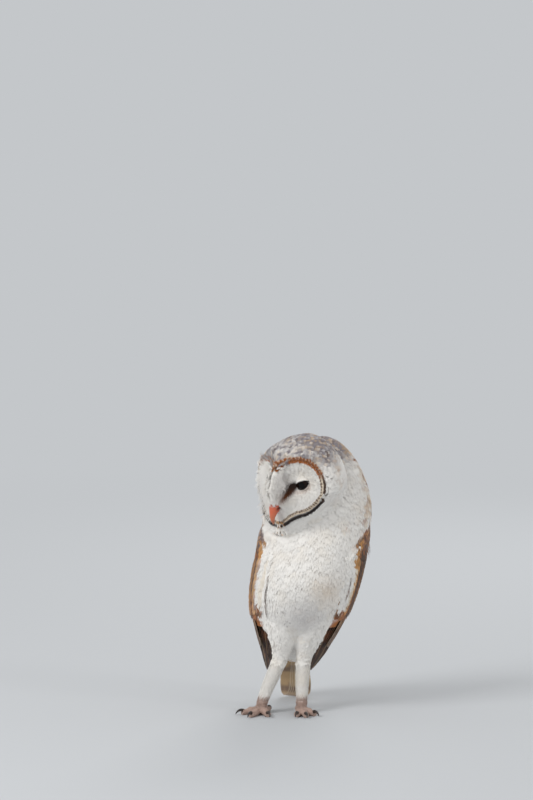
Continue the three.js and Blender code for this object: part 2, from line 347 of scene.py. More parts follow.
torso = [cad_copy(node) for node in FLESH["head"] + FLESH["body"] + FLESH["thigh"]]
torso += [cad_copy("eye_left"), cad_copy("eye_right")]  # they fill their sockets
torso += [cut_copy(node, WING_STUMP) for node in FLESH["wing"]]
torso += [cut_copy(node, TAIL_STUMP) for node in FLESH["tail"]]
torso += [cut_copy(node, ANKLE - 4 * mm) for node in FLESH["shank"]]
feet = [cut_copy(node, ANKLE, above=True) for node in FLESH["shank"]]
feet += [cad_copy(node) for node in FLESH["toe"]]
torso = fused(torso, "torso", grain=1.8 * mm, rounds=8)
feet = fused(feet, "feet", grain=0.7 * mm, rounds=3)
skin = join([torso, feet], "skin")

outline = points_of(skin.data)
outward = normals_of(skin.data)
flesh_nodes = [node for nodes in FLESH.values() for node in nodes]
node_share = {node: nearness(outline, node, 4 * mm) ** 4 for node in flesh_nodes}
total = sum(node_share.values()) + 1e-9
node_share = {node: value / total for node, value in node_share.items()}
part_share = {part: sum(node_share[node] for node in nodes) for part, nodes in FLESH.items()}
depth = sum(part_share[part] * COAT_DEPTH[part] for part in FLESH)
whole = BVHTree.FromPolygons(outline.tolist(), triangles_of(skin.data).tolist())
# Where a part is thin, such as a toe, the skin sinks by no more than a quarter of it.
thickness = np.array([
    whole.ray_cast(Vector(point) - 0.3 * mm * Vector(normal), -Vector(normal))[3] or 1.0
    for point, normal in zip(outline.tolist(), outward.tolist())
])
depth = np.minimum(depth, 0.25 * thickness)


# ---- Eyes and lids ----
# Two glossy near-black eyes that face a little outwards, half closed as the bird looks down.
# Each lid is a thin ring of bare skin over the ball, joined to the skin, with an almond opening.
HEAD_TURN = {"yaw": 42, "pitch": 18, "roll": 6}
EYE_SPREAD = 20 * mm
EYE_FORWARD = 17.2 * mm
EYE_RISE = 8 * mm
GAZE_OUT = 24
ALMOND = {"outer": 65, "inner": 79, "above": 25, "below": 30, "flat": 1.9, "point": 1.5, "tilt": 22}
HALF_SHUT = {"left": 1.0, "right": 0.7}  # how open each eye is, beside the almond's full size
LID_REACH = 84  # degrees from the middle of the eye to the outer edge of its lids
LID_ROWS = 12

head_turn = (
    Matrix.Rotation(math.radians(HEAD_TURN["roll"]), 3, "Y")
    @ Matrix.Rotation(-math.radians(HEAD_TURN["yaw"]), 3, "Z")
    @ Matrix.Rotation(math.radians(HEAD_TURN["pitch"]), 3, "X")
)
eye_centre = {side: sum(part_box(f"eye_{side}"), Vector()) / 2 for side in ("left", "right")}
eye_radius = (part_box("eye_left")[1].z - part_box("eye_left")[0].z) / 2
head_centre = (eye_centre["left"] + eye_centre["right"]) / 2
head_centre = head_centre + head_turn @ Vector((0, EYE_FORWARD, -EYE_RISE))
head_axes = np.array(head_turn)


def in_head(points):
    """Points as the head sees them: to its left, back and up from its middle."""
    return (points - np.array(head_centre)) @ head_axes


def gaze(sign):
    """The turn that takes +Z to the way an eye looks, +X to its outer corner and +Y up."""
    out = math.radians(GAZE_OUT)
    tilt = math.radians(ALMOND["tilt"])
    look = Vector((sign * math.sin(out), -math.cos(out), 0.02)).normalized()
    level = Vector((sign * math.cos(out), math.sin(out), 0)).normalized()
    rise = look.cross(level) * sign
    outer = level * math.cos(tilt) + rise * math.sin(tilt)
    upper = rise * math.cos(tilt) - level * math.sin(tilt)
    return head_turn @ Matrix((outer, upper, look)).transposed()


def almond(turn, side):
    """How far the lids open from the middle of the eye, in degrees, round from the outer corner."""
    height = np.where(np.sin(turn) > 0, ALMOND["above"], ALMOND["below"])
    power = np.where(np.sin(turn) > 0, ALMOND["flat"], ALMOND["point"])
    length = np.where(np.cos(turn) > 0, ALMOND["outer"], ALMOND["inner"])
    wide = np.abs(np.cos(turn) / length) ** power
    tall = np.abs(np.sin(turn) / height) ** power
    return (wide + tall) ** (-1 / power) * HALF_SHUT[side]


eye_gloss, shade, shader = new_material("eye_gloss", 0.06)
shader.inputs["Specular IOR Level"].default_value = 0.08
shader.inputs["Coat Weight"].default_value = 0.16
shader.inputs["Coat Roughness"].default_value = 0.02
ring = shade.node("ShaderNodeAttribute", {"attribute_name": "from_pupil"}, output=2)
fleck = shade.node("ShaderNodeTexNoise", (), {"Scale": 900.0, "Detail": 3.0})
iris = shade.node("ShaderNodeValToRGB", {"stops": [
    (0.0, colour(5, 4, 5)), (0.40, colour(6, 4, 4)), (0.50, colour(30, 17, 11)),
    (0.78, colour(24, 13, 9)), (0.95, colour(8, 6, 6)),
]}, {0: ring + 0.06 * (fleck - 0.5)})
iris.feed(shader, "Base Color")

lids = []
for side, sign in (("left", 1), ("right", -1)):
    turn = gaze(sign)
    bpy.ops.object.select_all(action="DESELECT")
    bpy.ops.mesh.primitive_uv_sphere_add(segments=64, ring_count=40, radius=eye_radius)
    eye = bpy.context.object
    eye.name = f"eyeball_{side}"
    ball = points_of(eye.data)
    from_axis = np.degrees(np.arccos(np.clip(ball[:, 2] / eye_radius, -1, 1)))
    bulge = 1 + 0.04 * smooth(from_axis, 46, 12)
    move_points(eye.data, (ball * bulge[:, None]) @ np.array(turn).T + np.array(eye_centre[side]))
    store(eye.data, "from_pupil", np.clip(from_axis / 60, 0, 1))
    bpy.ops.object.shade_smooth()
    put_on(eye, eye_gloss)
    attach(eye, "root")
    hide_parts(f"eye_{side}")

    bpy.ops.object.select_all(action="DESELECT")
    bpy.ops.mesh.primitive_circle_add(vertices=56, radius=eye_radius)
    lid = bpy.context.object
    bpy.ops.object.mode_set(mode="EDIT")
    for _ in range(LID_ROWS):
        bpy.ops.mesh.extrude_region_move(TRANSFORM_OT_translate={"value": (0, 0, -0.1 * mm)})
    bpy.ops.object.mode_set(mode="OBJECT")
    rim = points_of(lid.data)
    across = np.arctan2(rim[:, 1], rim[:, 0])
    row = np.clip(-rim[:, 2] / (1.2 * mm), 0, 1)
    opening = almond(across, side)
    angle = np.radians(opening + (LID_REACH - opening) * row ** 1.25)
    crease = np.exp(-((row - 0.42) / 0.12) ** 2) * (np.sin(across) > 0)
    raised = eye_radius + 0.3 * mm + 0.35 * mm * np.exp(-(row / 0.16) ** 2) - 0.25 * mm * crease
    raised = np.maximum(raised, (1.05 * eye_radius + 0.25 * mm) * (1 - 0.2 * row))
    shell = np.stack([
        np.sin(angle) * np.cos(across), np.sin(angle) * np.sin(across), np.cos(angle),
    ], 1) * raised[:, None]
    move_points(lid.data, shell @ np.array(turn).T + np.array(eye_centre[side]))
    apply(lid, "SOLIDIFY", thickness=0.5 * mm, offset=-1)
    edit(lid, bpy.ops.mesh.normals_make_consistent, inside=False)
    apply(lid, "TRIANGULATE")
    lids.append(lid)


# ---- Skin, drawn in ----
# The skin sinks below the plumage's outline, most of all round the eyes, where the lids show.
# The unwrap that every feather refers to is made, with the fields that say how feathers lie.
FACE_RIM = [  # degrees round the face from the bird's left, and the disc's radius in mm
    (-180, 50), (-150, 50), (-135, 47), (-120, 42), (-105, 36.5), (-88, 32.8), (-75, 29.3),
    (-62, 27.4), (-50, 27.3), (-33, 32.3), (-22, 35), (-12, 38.4), (0, 44), (10, 44.8), (21, 44.6),
    (32, 43.4), (45, 41), (56, 38), (66, 34.4), (77, 30.2), (87, 27.4), (100, 26.6), (114, 27.5),
    (126, 30), (136, 37), (150, 45), (165, 49), (180, 50),
]
FACE_DEPTH = 1.5 * mm
EYE_HOLLOW = 2.6 * mm

rim_turns, rim_radii = np.array(FACE_RIM).T
whole_turns = np.arange(-180, 180)
whole_rim = np.interp(whole_turns, rim_turns, rim_radii)
whole_rim = sum(np.roll(whole_rim, step) for step in range(-5, 6)) / 11  # rounds its corners


def disc_radius(turn):
    """From the middle of the face to its heart-shaped disc's edge, round from the bird's left."""
    return mm * np.interp(np.degrees(turn), whole_turns, whole_rim, period=360)


def face_share(local):
    """0 in the middle of the face, 1 on the edge of its disc, and more outside it or behind it."""
    turn = np.arctan2(local[:, 2], local[:, 0])
    share = np.hypot(local[:, 0], local[:, 2]) / disc_radius(turn)
    return share + 2 * smooth(local[:, 1], -6 * mm, 2 * mm)


def evened(values, edges, rounds):
    """Values at the skin's points, each averaged with its neighbours some times over."""
    values = np.array(values, float)
    flat = values.reshape(len(values), -1)
    count = np.bincount(edges.ravel(), minlength=len(flat))[:, None] + 1.0
    for _ in range(rounds):
        total = flat.copy()
        for column in range(flat.shape[1]):
            for one, other in ((0, 1), (1, 0)):
                total[:, column] += np.bincount(
                    edges[:, one], weights=flat[edges[:, other], column], minlength=len(flat)
                )
        flat = total / count
    return flat.reshape(values.shape)


def unit(vectors):
    return vectors / np.maximum(np.linalg.norm(vectors, axis=-1, keepdims=True), 1e-12)


def beside_eye(local):
    """How far a place on the face is from the nearer eye, seen from the front."""
    return np.hypot(np.abs(local[:, 0]) - EYE_SPREAD, local[:, 2] - EYE_RISE)


edges = edges_of(skin.data)
local = in_head(outline)
on_face = part_share["head"] * smooth(face_share(local), 1.0, 0.9)
depth = depth - on_face * np.maximum(0, depth - FACE_DEPTH)
depth += EYE_HOLLOW * on_face * smooth(beside_eye(local), 18 * mm, 10 * mm)
depth = evened(depth, edges, 6)
sunk = outline - outward * depth[:, None]
# The crease between head and neck is evened out, and the dip behind the crown partly filled.
crease = evened(part_share["head"] * part_share["body"], edges, 25)
crease = smooth(crease, 0.004, 0.05) * smooth(outline[:, 2], 0.72 * bird_height, 0.8 * bird_height)
crease = crease * smooth(face_share(local), 1.15, 1.4)
sunk += evened(crease, edges, 6)[:, None] * (evened(sunk, edges, 90) - sunk)
hollows = smooth(outline[:, 2], 0.68 * bird_height, 0.76 * bird_height)
hollows = evened(hollows * smooth(face_share(local), 1.15, 1.4), edges, 6)[:, None]
for _ in range(3):
    filling = np.sum((evened(sunk, edges, 160) - sunk) * outward, axis=1, keepdims=True)
    sunk += hollows * np.maximum(0, filling) * outward
# The lip below the disc is rounded, so that the rows of the ruff lie evenly on it.
lip = smooth(face_share(local), 0.97, 1.06) * smooth(face_share(local), 1.7, 1.35)
lip = lip * smooth(local[:, 2], -4 * mm, -12 * mm) * smooth(local[:, 1], 6 * mm, 0)
sunk += evened(lip, edges, 6)[:, None] * (evened(sunk, edges, 60) - sunk)
move_points(skin.data, sunk)
lid_start = len(skin.data.vertices)
skin = join([skin, *lids], "skin")
edit(skin, bpy.ops.uv.smart_project, angle_limit=math.radians(66), island_margin=0.002)
bpy.ops.object.shade_smooth()
skin.data.uv_layers[0].name = "OFBake"

skin_points = points_of(skin.data)
skin_normals = normals_of(skin.data)
skin_faces = triangles_of(skin.data)
corner_uv = listed(skin.data.uv_layers["OFBake"].data, "uv", 2).reshape(-1, 3, 2).astype(float)
skin_tree = BVHTree.FromPolygons(skin_points.tolist(), skin_faces.tolist())


def with_lids(values, of_lids):
    """Values of the skin's points, with one more value for all the points of the lids."""
    extra = len(skin_points) - len(values)
    return np.concatenate([values, np.full((extra, *values.shape[1:]), of_lids, float)])


fields = {part: with_lids(share, float(part == "head")) for part, share in part_share.items()}
fields["depth"] = with_lids(depth, 0.5 * mm)
fields["normal"] = skin_normals
fields["face"] = with_lids(on_face, 1.0)


body_levels = np.arange(60, 281, 20) * mm
cloud = np.concatenate([points_of(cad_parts[node].data) for node in ("trunk", "neck")])
slices = [cloud[np.abs(cloud[:, 2] - level) < 9 * mm] for level in body_levels]
body_middle = np.array([(ring.min(0) + ring.max(0)) / 2 for ring in slices])


def body_axis(height):
    """Where the middle of the body is at a height: to its left and back."""
    return [np.interp(height, body_levels, body_middle[:, k]) for k in range(2)]


def round_body(points):
    """Degrees round the body from the breast's midline, positive to the bird's left."""
    left, back = body_axis(points[:, 2])
    return np.degrees(np.arctan2(points[:, 0] - left, back - points[:, 1]))


def end_of(node, top):
    """The middle of a CAD node's top or bottom end."""
    cloud = points_of(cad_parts[node].data)
    height = cloud[:, 2]
    level = height.max() if top else height.min()
    return cloud[np.abs(height - level) < 0.12 * np.ptp(height)].mean(0)


def laid_flat(flow, normals):
    """Directions with what points into or out of the surface taken off."""
    return unit(flow - normals * np.sum(flow * normals, axis=1, keepdims=True))


# On the face the bristles spread from each eye, and down the ridge between the eyes.
local = in_head(skin_points)
side = np.where(local[:, 0] > 0, 1.0, -1.0)
from_eye = unit(np.stack([local[:, 0] - side * EYE_SPREAD, 0 * side, local[:, 2] - EYE_RISE], 1))
ridge = smooth(np.abs(local[:, 0]), 9 * mm, 4 * mm)[:, None]
down_ridge = np.stack([0.06 * side, 0 * side, -np.ones(len(side))], 1)
on_disc = unit(from_eye * (1 - ridge) + down_ridge * ridge)
# Elsewhere on the head they lie back from the face, then down into the neck.
behind = unit(np.stack([
    local[:, 0] / (95 * mm), np.ones(len(local)), local[:, 2] / (67 * mm),
], 1))
low = smooth(skin_points[:, 2], 0.93 * bird_height, 0.76 * bird_height)[:, None]
down = np.array([0, 0.1, -1.0])
over_head = unit((behind @ head_axes.T) * (1.15 - low) + down * low)
over_top = smooth(skin_points[:, 2], 0.86 * bird_height, 0.94 * bird_height)[:, None]
down = down * (1 - over_top) + head_axes[:, 1] * over_top
face = fields["face"][:, None]
flow = fields["head"][:, None] * (face * (on_disc @ head_axes.T) + (1 - face) * over_head)
flow += fields["body"][:, None] * down
for node in FLESH["thigh"] + FLESH["shank"] + FLESH["tail"]:
    way = unit(end_of(node, top=False) - end_of(node, top=True))
    flow += with_lids(node_share[node], 0)[:, None] * way
for node in FLESH["wing"]:
    flow += with_lids(node_share[node], 0)[:, None] * unit(end_of(node, top=False) - skin_points)
for node in FLESH["toe"]:
    ankle = end_of("shank_left" if "left" in node else "shank_right", top=False)
    flow += with_lids(node_share[node], 0)[:, None] * unit((skin_points - ankle) * [1, 1, 0])
flow = laid_flat(flow, skin_normals)
all_edges = edges_of(skin.data)
for _ in range(3):
    flow = laid_flat(evened(flow, all_edges, 3), skin_normals)
fields["flow"] = flow  # the way in which feathers lie


def sample(points):
    """The skin's fields at the points of it nearest to these, by name."""
    hits = [skin_tree.find_nearest(point) for point in points.tolist()]
    place = np.array([hit[0] for hit in hits])
    face = np.array([hit[2] for hit in hits])
    a, b, c = (skin_points[skin_faces[face, k]] for k in range(3))
    whole_area = np.linalg.norm(np.cross(b - a, c - a), axis=1) + 1e-18
    weights = np.stack([
        np.linalg.norm(np.cross(b - place, c - place), axis=1),
        np.linalg.norm(np.cross(c - place, a - place), axis=1),
        np.linalg.norm(np.cross(a - place, b - place), axis=1),
    ], 1) / whole_area[:, None]
    weights /= weights.sum(1, keepdims=True)
    found = {"place": place, "uv": np.einsum("nk,nkd->nd", weights, corner_uv[face])}
    for name, values in fields.items():
        picked = values[skin_faces[face]]
        found[name] = np.einsum("nk,nk...->n...", weights, picked)
    found["normal"] = unit(found["normal"])
    found["flow"] = laid_flat(found["flow"], found["normal"])
    return found


# ---- Markings ----
# The colours of the plumage, the same on the skin and on the feathers over it.
# White below, with golden buff under a grey marbled veil on the crown, back and wings.
WHITE = colour(246, 243, 238)
CREAM = colour(236, 222, 200)
BUFF = colour(212, 180, 140)
GOLD = colour(200, 146, 88)
RUFOUS = colour(160, 94, 48)
BROWN = colour(84, 60, 46)
BLACK = colour(36, 29, 27)
VEIL = colour(150, 143, 148)
DUSK = colour(192, 186, 190)
FOOT = colour(180, 154, 142)
LID = colour(30, 22, 22)
LORE_START = (13, 6)  # mm out from the ridge and up from the middle of the face
LORE_FINISH = (6.5, -9.5)


def marbling(points, size, seed):
    """A smooth random field from -1 to 1 whose blotches are about this size."""
    cells = points / size + seed * 17.3
    corner = np.floor(cells)
    part = cells - corner
    part = part * part * (3 - 2 * part)
    total = np.zeros(len(points))
    for step in np.ndindex(2, 2, 2):
        weight = np.prod(np.where(np.array(step) == 1, part, 1 - part), axis=1)
        key = (corner + np.array(step)) @ np.array([127.1, 311.7, 74.7]) + seed * 5.17
        total += weight * np.modf(np.abs(np.sin(key) * 43758.5453))[0]
    return 2 * total - 1


def laid_over(ground, mask, paint):
    """The ground colours with another colour over them where the mask is 1."""
    return ground + mask[..., None] * (paint - ground)


def blotch(points, x, z, radius):
    """1 at a place on the bird's front, fading out over this radius."""
    return np.exp(-((points[:, 0] - x) ** 2 + (points[:, 2] - z) ** 2) / radius ** 2)


def band(value, low, high, soft):
    """1 between two values and 0 outside them, over soft edges."""
    return smooth(value, low - soft, low + soft) * smooth(value, high + soft, high - soft)


def wing_edges(height, sign):
    """Degrees round the body to the front and the back edge of a folded wing."""
    front = 49 - 18 * smooth(height, 115 * mm, 50 * mm) - 6 * sign
    back = 148 + 24 * smooth(height, 190 * mm, 140 * mm)
    return front, back


def wing_share(points):
    """0 at the folded wing's front edge and 1 at its back edge."""
    front, back = wing_edges(points[:, 2], np.sign(points[:, 0]))
    return (np.abs(round_body(points)) - front) / (back - front)


def back_paint(coarse, middling, fine):
    """Golden buff under a grey marbled veil, from three grains of marbling."""
    veil_over = smooth(0.8 * coarse + middling + 0.5 * fine, -0.75, 0.75)
    back = laid_over(GOLD, 0.85 * veil_over, VEIL)
    back = laid_over(back, 0.55 * smooth(fine, 0.15, 0.7), DUSK)
    return laid_over(back, 0.4 * smooth(fine, -0.35, -0.8), BROWN)


def wing_paint(place, middling, fine, back):
    """White at the wing's front edge, then gold, brown with rufous lines, and the back's colours."""
    height = place[:, 2]
    v = wing_share(place) + 0.02 * middling
    wing = laid_over(WHITE, 0.35 * smooth(fine, 0.1, 0.7), CREAM)
    wing = laid_over(wing, smooth(v, 0.11, 0.14), BUFF)
    wing = laid_over(wing, smooth(v, 0.13, 0.155), GOLD)
    rows = np.cos(2 * math.pi * (15 * v + 0.25 * middling))
    dark = laid_over(BROWN * 0.85, smooth(rows, 0.25, 0.9), RUFOUS * 0.9)
    dark = laid_over(dark, 0.75 * smooth(rows + 0.5 * fine, 1.0, 1.35), GOLD)
    wing = laid_over(wing, 0.95 * smooth(v, 0.17, 0.2), dark)
    wing = laid_over(wing, smooth(v + 0.08 * fine, 0.48, 0.66), back)
    low_front = smooth(height + 12 * mm * middling, 132 * mm, 118 * mm) * smooth(v, 0.26, 0.16)
    wing = laid_over(wing, 0.8 * low_front * smooth(v, 0.03, 0.09), RUFOUS * 1.15)
    shoulder = smooth(height, 172 * mm, 182 * mm) * smooth(v, 0.02, 0.12)
    warm_side = np.where(place[:, :1] > 0, RUFOUS, VEIL * 0.8)
    mottle = laid_over(back, 0.65 * smooth(middling + 0.5 * fine, -0.5, 0.4), warm_side)
    mottle = laid_over(mottle, 0.75 * smooth(fine, -0.1, 0.5), BROWN)
    return laid_over(wing, shoulder * smooth(v, 0.6, 0.4), mottle)


def crown_paint(local, coarse, fine, tiny):
    """Grey with buff, white and brown flecks, and a painted patch of sunlight on the forehead."""
    crown = laid_over(VEIL * 0.8, 0.7 * smooth(fine, 0.0, 0.5), BUFF * 0.75)
    crown = laid_over(crown, 0.36 * smooth(tiny + 0.4 * coarse, 0.2, 0.75), WHITE)
    crown = laid_over(crown, 0.6 * smooth(tiny + 0.5 * fine, -0.35, -0.8), BROWN)
    # A pale patch on the forehead is painted sunlight.
    back, up = (local[:, 1] + 16 * mm) / (14 * mm), (local[:, 2] - 46 * mm) / (11 * mm)
    forehead = np.exp(-up ** 2 - back ** 2)
    return laid_over(crown, 0.8 * forehead * smooth(fine, -0.7, 0.1), WHITE)


def lore_of(local):
    """The dark streak from each eye to the bill: how strong it is, and 0 to 1 along it."""
    start = np.array(LORE_START) * mm
    way = np.array(LORE_FINISH) * mm - start
    flat = np.stack([np.abs(local[:, 0]), local[:, 2]], 1) - start
    run = np.clip(flat @ way / np.sum(way ** 2), 0, 1)
    apart = np.linalg.norm(flat - run[:, None] * way, axis=1)
    lore = np.exp(-(apart / (mm * (3.8 - 1.7 * run))) ** 2) * (1 - 0.75 * run)
    return lore * (local[:, 1] < 0) * np.where(local[:, 0] > 0, 1, 0.3), run


def plumage(found):
    """The colour of the plumage at each sampled place."""
    place = found["place"]
    local = in_head(place)
    x, y, z = local.T
    around = np.abs(round_body(place))
    height = place[:, 2]
    coarse = marbling(place, 9 * mm, 1)
    middling = marbling(place, 4.2 * mm, 2)
    fine = marbling(place, 2.0 * mm, 3)
    tiny = marbling(place, 1.3 * mm, 4)
    off_wing = 1 - found["wing"]
    off_face = 1 - found["face"]

    # The breast and belly.
    paint = laid_over(WHITE, 0.2 * smooth(coarse, -0.2, 0.8), CREAM)
    front = smooth(around, 80, 60)
    paint = laid_over(paint, 0.3 * front * blotch(place, 22 * mm, 134 * mm, 15 * mm), BUFF)
    # A dusky patch low in the middle of the belly is painted shade.
    paint = laid_over(paint, 0.34 * front * blotch(place, 1 * mm, 106 * mm, 17 * mm), DUSK * 0.75)
    warm = smooth(around, 52, 84) * smooth(height, 0.5 * bird_height, 0.62 * bird_height)
    paint = laid_over(paint, 0.22 * warm * smooth(coarse + middling, -0.3, 0.9), BUFF)

    # The back and the wings.
    back = back_paint(coarse, middling, fine)
    behind = smooth(around + 10 * coarse, 88, 122) * off_wing
    behind = behind * smooth(height, 0.15 * bird_height, 0.22 * bird_height)
    nape = smooth(around + 10 * coarse, 72, 96) * off_wing
    paint = laid_over(paint, 0.5 * nape * smooth(middling, 0.05, 0.55), BUFF)
    paint = laid_over(paint, 0.55 * nape * smooth(fine + 0.6 * middling, 0.55, 1.0), RUFOUS)
    paint = laid_over(paint, behind, back)
    paint = laid_over(paint, found["wing"], wing_paint(place, middling, fine, back))

    # The crown, and the freckles and the lilac shade on the sides of the head and neck.
    top = smooth(z + 5 * mm * coarse, 15 * mm, 36 * mm)
    rear = smooth(y, 28 * mm, 44 * mm) * smooth(z, -30 * mm, 0)
    on_crown = found["head"] * np.maximum(top, 0.5 * rear) * off_face
    on_crown = np.maximum(on_crown, found["body"] * smooth(
        height + 6 * mm * coarse, 0.84 * bird_height, 0.93 * bird_height))
    paint = laid_over(paint, on_crown, crown_paint(local, coarse, fine, tiny))
    freckled = smooth(x + 8 * mm * coarse, 40 * mm, 54 * mm) * smooth(y, -4 * mm, 12 * mm)
    freckled = freckled + found["body"] * smooth(around + 8 * coarse, 62, 86)
    freckled = np.clip(freckled, 0, 1) * smooth(height, 0.58 * bird_height, 0.68 * bird_height)
    freckled = freckled * off_wing * off_face
    paint = laid_over(paint, 0.55 * freckled * smooth(middling, -0.3, 0.5), BUFF)
    paint = laid_over(paint, 0.85 * freckled * smooth(tiny + 0.6 * fine, 0.3, 0.7), RUFOUS * 0.85)
    lilac = found["head"] * off_face * (1 - on_crown)
    paint = laid_over(paint, 0.16 * lilac * smooth(coarse, -0.6, 0.6), DUSK)

    # The face: painted shade beside the ridge, a rufous tint low round each eye and a dark streak
    # before it.
    face = found["head"] * smooth(face_share(local), 1.1, 1.02)
    paint = laid_over(paint, face, laid_over(WHITE, 0.15 * smooth(coarse, -0.2, 0.8), CREAM))
    # Painted shade on the near side of the ridge, on the bird's left only.
    ridge_shade = np.exp(-((np.abs(x) - 7 * mm) / (4 * mm)) ** 2) * band(z, -8 * mm, 22 * mm, 6 * mm)
    paint = laid_over(paint, 0.3 * face * ridge_shade * (x > 0), VEIL * 0.9)
    hollow = np.exp(-((beside_eye(local) - 9 * mm) / (2.2 * mm)) ** 2)
    paint = laid_over(paint, 0.3 * face * hollow * smooth(z, 14 * mm, 4 * mm), RUFOUS)
    lore, run = lore_of(local)
    streak = RUFOUS * (0.05 + 0.7 * run[:, None] ** 1.5)
    paint = laid_over(paint, face * np.clip(2.2 * lore, 0, 1), streak)

    bare = np.maximum(found["toe"], smooth(height, 18 * mm, 12 * mm) * (1 - found["tail"]))
    return laid_over(paint, bare, FOOT) * (1 + 0.03 * fine[:, None])


def paint_points(mesh, paint):
    """Stores a colour for each point under the name that the materials read."""
    marks = mesh.color_attributes.new("Markings", "FLOAT_COLOR", "POINT")
    four = np.concatenate([np.clip(paint, 0, 1), np.ones((len(paint), 1))], 1)
    marks.data.foreach_set("color", four.astype(np.float32).ravel())


def past_margin(points, side):
    """How many degrees a place beside an eye is outside the opening of its lids."""
    ray = unit(points - np.array(eye_centre[side])) @ np.array(gaze(1 if side == "left" else -1))
    around = np.arctan2(ray[:, 1], ray[:, 0])
    return np.degrees(np.arccos(np.clip(ray[:, 2], -1, 1))) - almond(around, side)


skin_paint = plumage({**fields, "place": skin_points})
for side in ("left", "right"):
    off_margin = past_margin(skin_points, side)
    nearby = np.linalg.norm(skin_points - np.array(eye_centre[side]), axis=1) < eye_radius + 2 * mm
    dark = nearby * smooth(off_margin, 11, 4)
    dark[:lid_start] = 0
    skin_paint = laid_over(skin_paint, dark, LID)
paint_points(skin.data, skin_paint)

skin_finish, shade, shader = new_material("skin_and_down", 0.75)
shader.inputs["Specular IOR Level"].default_value = 0.3
marks = shade.node("ShaderNodeAttribute", {"attribute_name": "Markings"})
place = shade.node("ShaderNodeTexCoord", output=3)
creases = shade.node("ShaderNodeTexVoronoi", {"feature": "DISTANCE_TO_EDGE"}, {
    "Vector": place, "Scale": 620.0,
})
worn = shade.node("ShaderNodeTexNoise", (), {"Vector": place, "Scale": 260.0, "Detail": 4.0})
marks.scaled(0.8 + 0.25 * worn + 0.25 * creases).feed(shader, "Base Color")
(1.6 * creases + 0.3 * worn).emboss(shader, 0.7, 0.4 * mm)
put_on(skin, skin_finish)
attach(skin, "root")
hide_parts(*flesh_nodes)


# ---- Bill ----
# A short hooked bill of warm orange horn, mostly buried in the bristles of the face.
# Smooth copies of the two bill solids, pinched to a ridge, with slit nostrils near the root in
# painted shade.
def smooth_copy(node, name):
    """A finely rounded copy of a CAD node, which it stands for."""
    piece = cad_copy(node)
    apply(piece, "SUBSURF", levels=2, render_levels=2)
    piece.name = name
    only(piece)
    bpy.ops.object.shade_smooth()
    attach(piece, "root")
    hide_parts(node)
    return piece


BILL_WIDER = 1.18
BILL_FORWARD = (-0.8, -3.2, 0.8)  # mm to the head's left, back and up
NOSTRIL = {"back": -44.2, "up": -15}  # mm from the middle of the head

horn, shade, shader = new_material("bill_horn", 0.34)
shader.inputs["Subsurface Weight"].default_value = 0.12
shader.inputs["Subsurface Scale"].default_value = 1.5 * mm
place = shade.node("ShaderNodeTexCoord", output=3)
grain = shade.node("ShaderNodeTexNoise", (), {"Vector": place, "Scale": 420.0, "Detail": 5.0})
towards_tip = shade.node("ShaderNodeAttribute", {"attribute_name": "towards_tip"}, output=2)
nostril = shade.node("ShaderNodeAttribute", {"attribute_name": "nostril"}, output=2)
hue = shade.node("ShaderNodeValToRGB", {"stops": [
    (0.0, colour(196, 104, 84)), (0.4, colour(208, 104, 70)), (0.8, colour(206, 118, 84)),
    (1.0, colour(168, 110, 88)),
]}, {0: towards_tip + 0.3 * (grain - 0.5)})
# The slits of the nostrils are painted dark, standing in for the shade inside them.
hue.scaled(1 - 0.8 * nostril).feed(shader, "Base Color")
grain.emboss(shader, 0.25, 0.2 * mm)

for node in ("bill_upper", "bill_lower"):
    bill = smooth_copy(node, node.replace("bill", "beak"))
    shape = in_head(points_of(bill.data))
    run = smooth(shape[:, 2], shape[:, 2].max(), shape[:, 2].min())
    front = smooth(shape[:, 1], np.median(shape[:, 1]), shape[:, 1].min())
    slit = np.zeros(len(shape))
    if node == "bill_lower":
        shape = (shape - shape.mean(0)) * [0.8, 1.0, 0.85] + shape.mean(0)
        shape = shape + np.array([0, -2.6, 2.2]) * mm
    shape = shape * [BILL_WIDER, 1, 1] + np.array(BILL_FORWARD) * mm
    if node == "bill_upper":
        shape[:, 0] *= 1 - 0.35 * front
        back_by, up_by = NOSTRIL["back"] * mm, NOSTRIL["up"] * mm
        off_slit = np.hypot((shape[:, 2] - up_by) / (1.9 * mm), (shape[:, 1] - back_by) / (1.1 * mm))
        slit = smooth(off_slit, 1.2, 0.5)
        shape[:, 0] -= np.sign(shape[:, 0]) * 0.5 * mm * slit
    move_points(bill.data, shape @ head_axes.T + np.array(head_centre))
    for name, values in (("towards_tip", run), ("nostril", slit)):
        store(bill.data, name, values)
    put_on(bill, horn)


# ---- Claws ----
# Eight long curved claws of dark horn, mottled with paler horn.
# Each is a finely rounded copy of its own solid.
claw_horn, shade, shader = new_material("claw_horn", 0.3)
place = shade.node("ShaderNodeTexCoord", output=3)
grain = shade.node("ShaderNodeTexNoise", (), {"Vector": place, "Scale": 600.0, "Detail": 4.0})
hue = shade.node("ShaderNodeValToRGB", {"stops": [
    (0.25, colour(30, 25, 24)), (0.75, colour(74, 62, 57)),
]}, {0: grain})
hue.feed(shader, "Base Color")
grain.emboss(shader, 0.2, 0.2 * mm)
for node in [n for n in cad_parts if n.startswith("claw_")]:
    talon = smooth_copy(node, node.replace("claw", "talon"))
    put_on(talon, claw_horn)


# ---- Body feathers ----
# Long loose feathers of the breast, belly, neck and back, spread evenly and laid along the skin.
# A feather is a fan of thin flat locks of barbs, each lock a closed solid that ends in a fine tip.
chance = np.random.default_rng(7)
PATCH = 0.003  # a feather's width on the bake map
STATIONS = 5  # places at which a feather meets the lie of the skin
FLAT = 0.08 * mm


def picked(found, which):
    return {name: values[which] for name, values in found.items()}


def in_the_open(found, reach):
    """Leaves out roots that lie under another part of the body."""
    clear = [
        skin_tree.ray_cast(Vector(p) + Vector(n) * 1.5 * mm, Vector(n), reach)[0] is None
        for p, n in zip(found["place"].tolist(), found["normal"].tolist())
    ]
    return picked(found, np.array(clear))


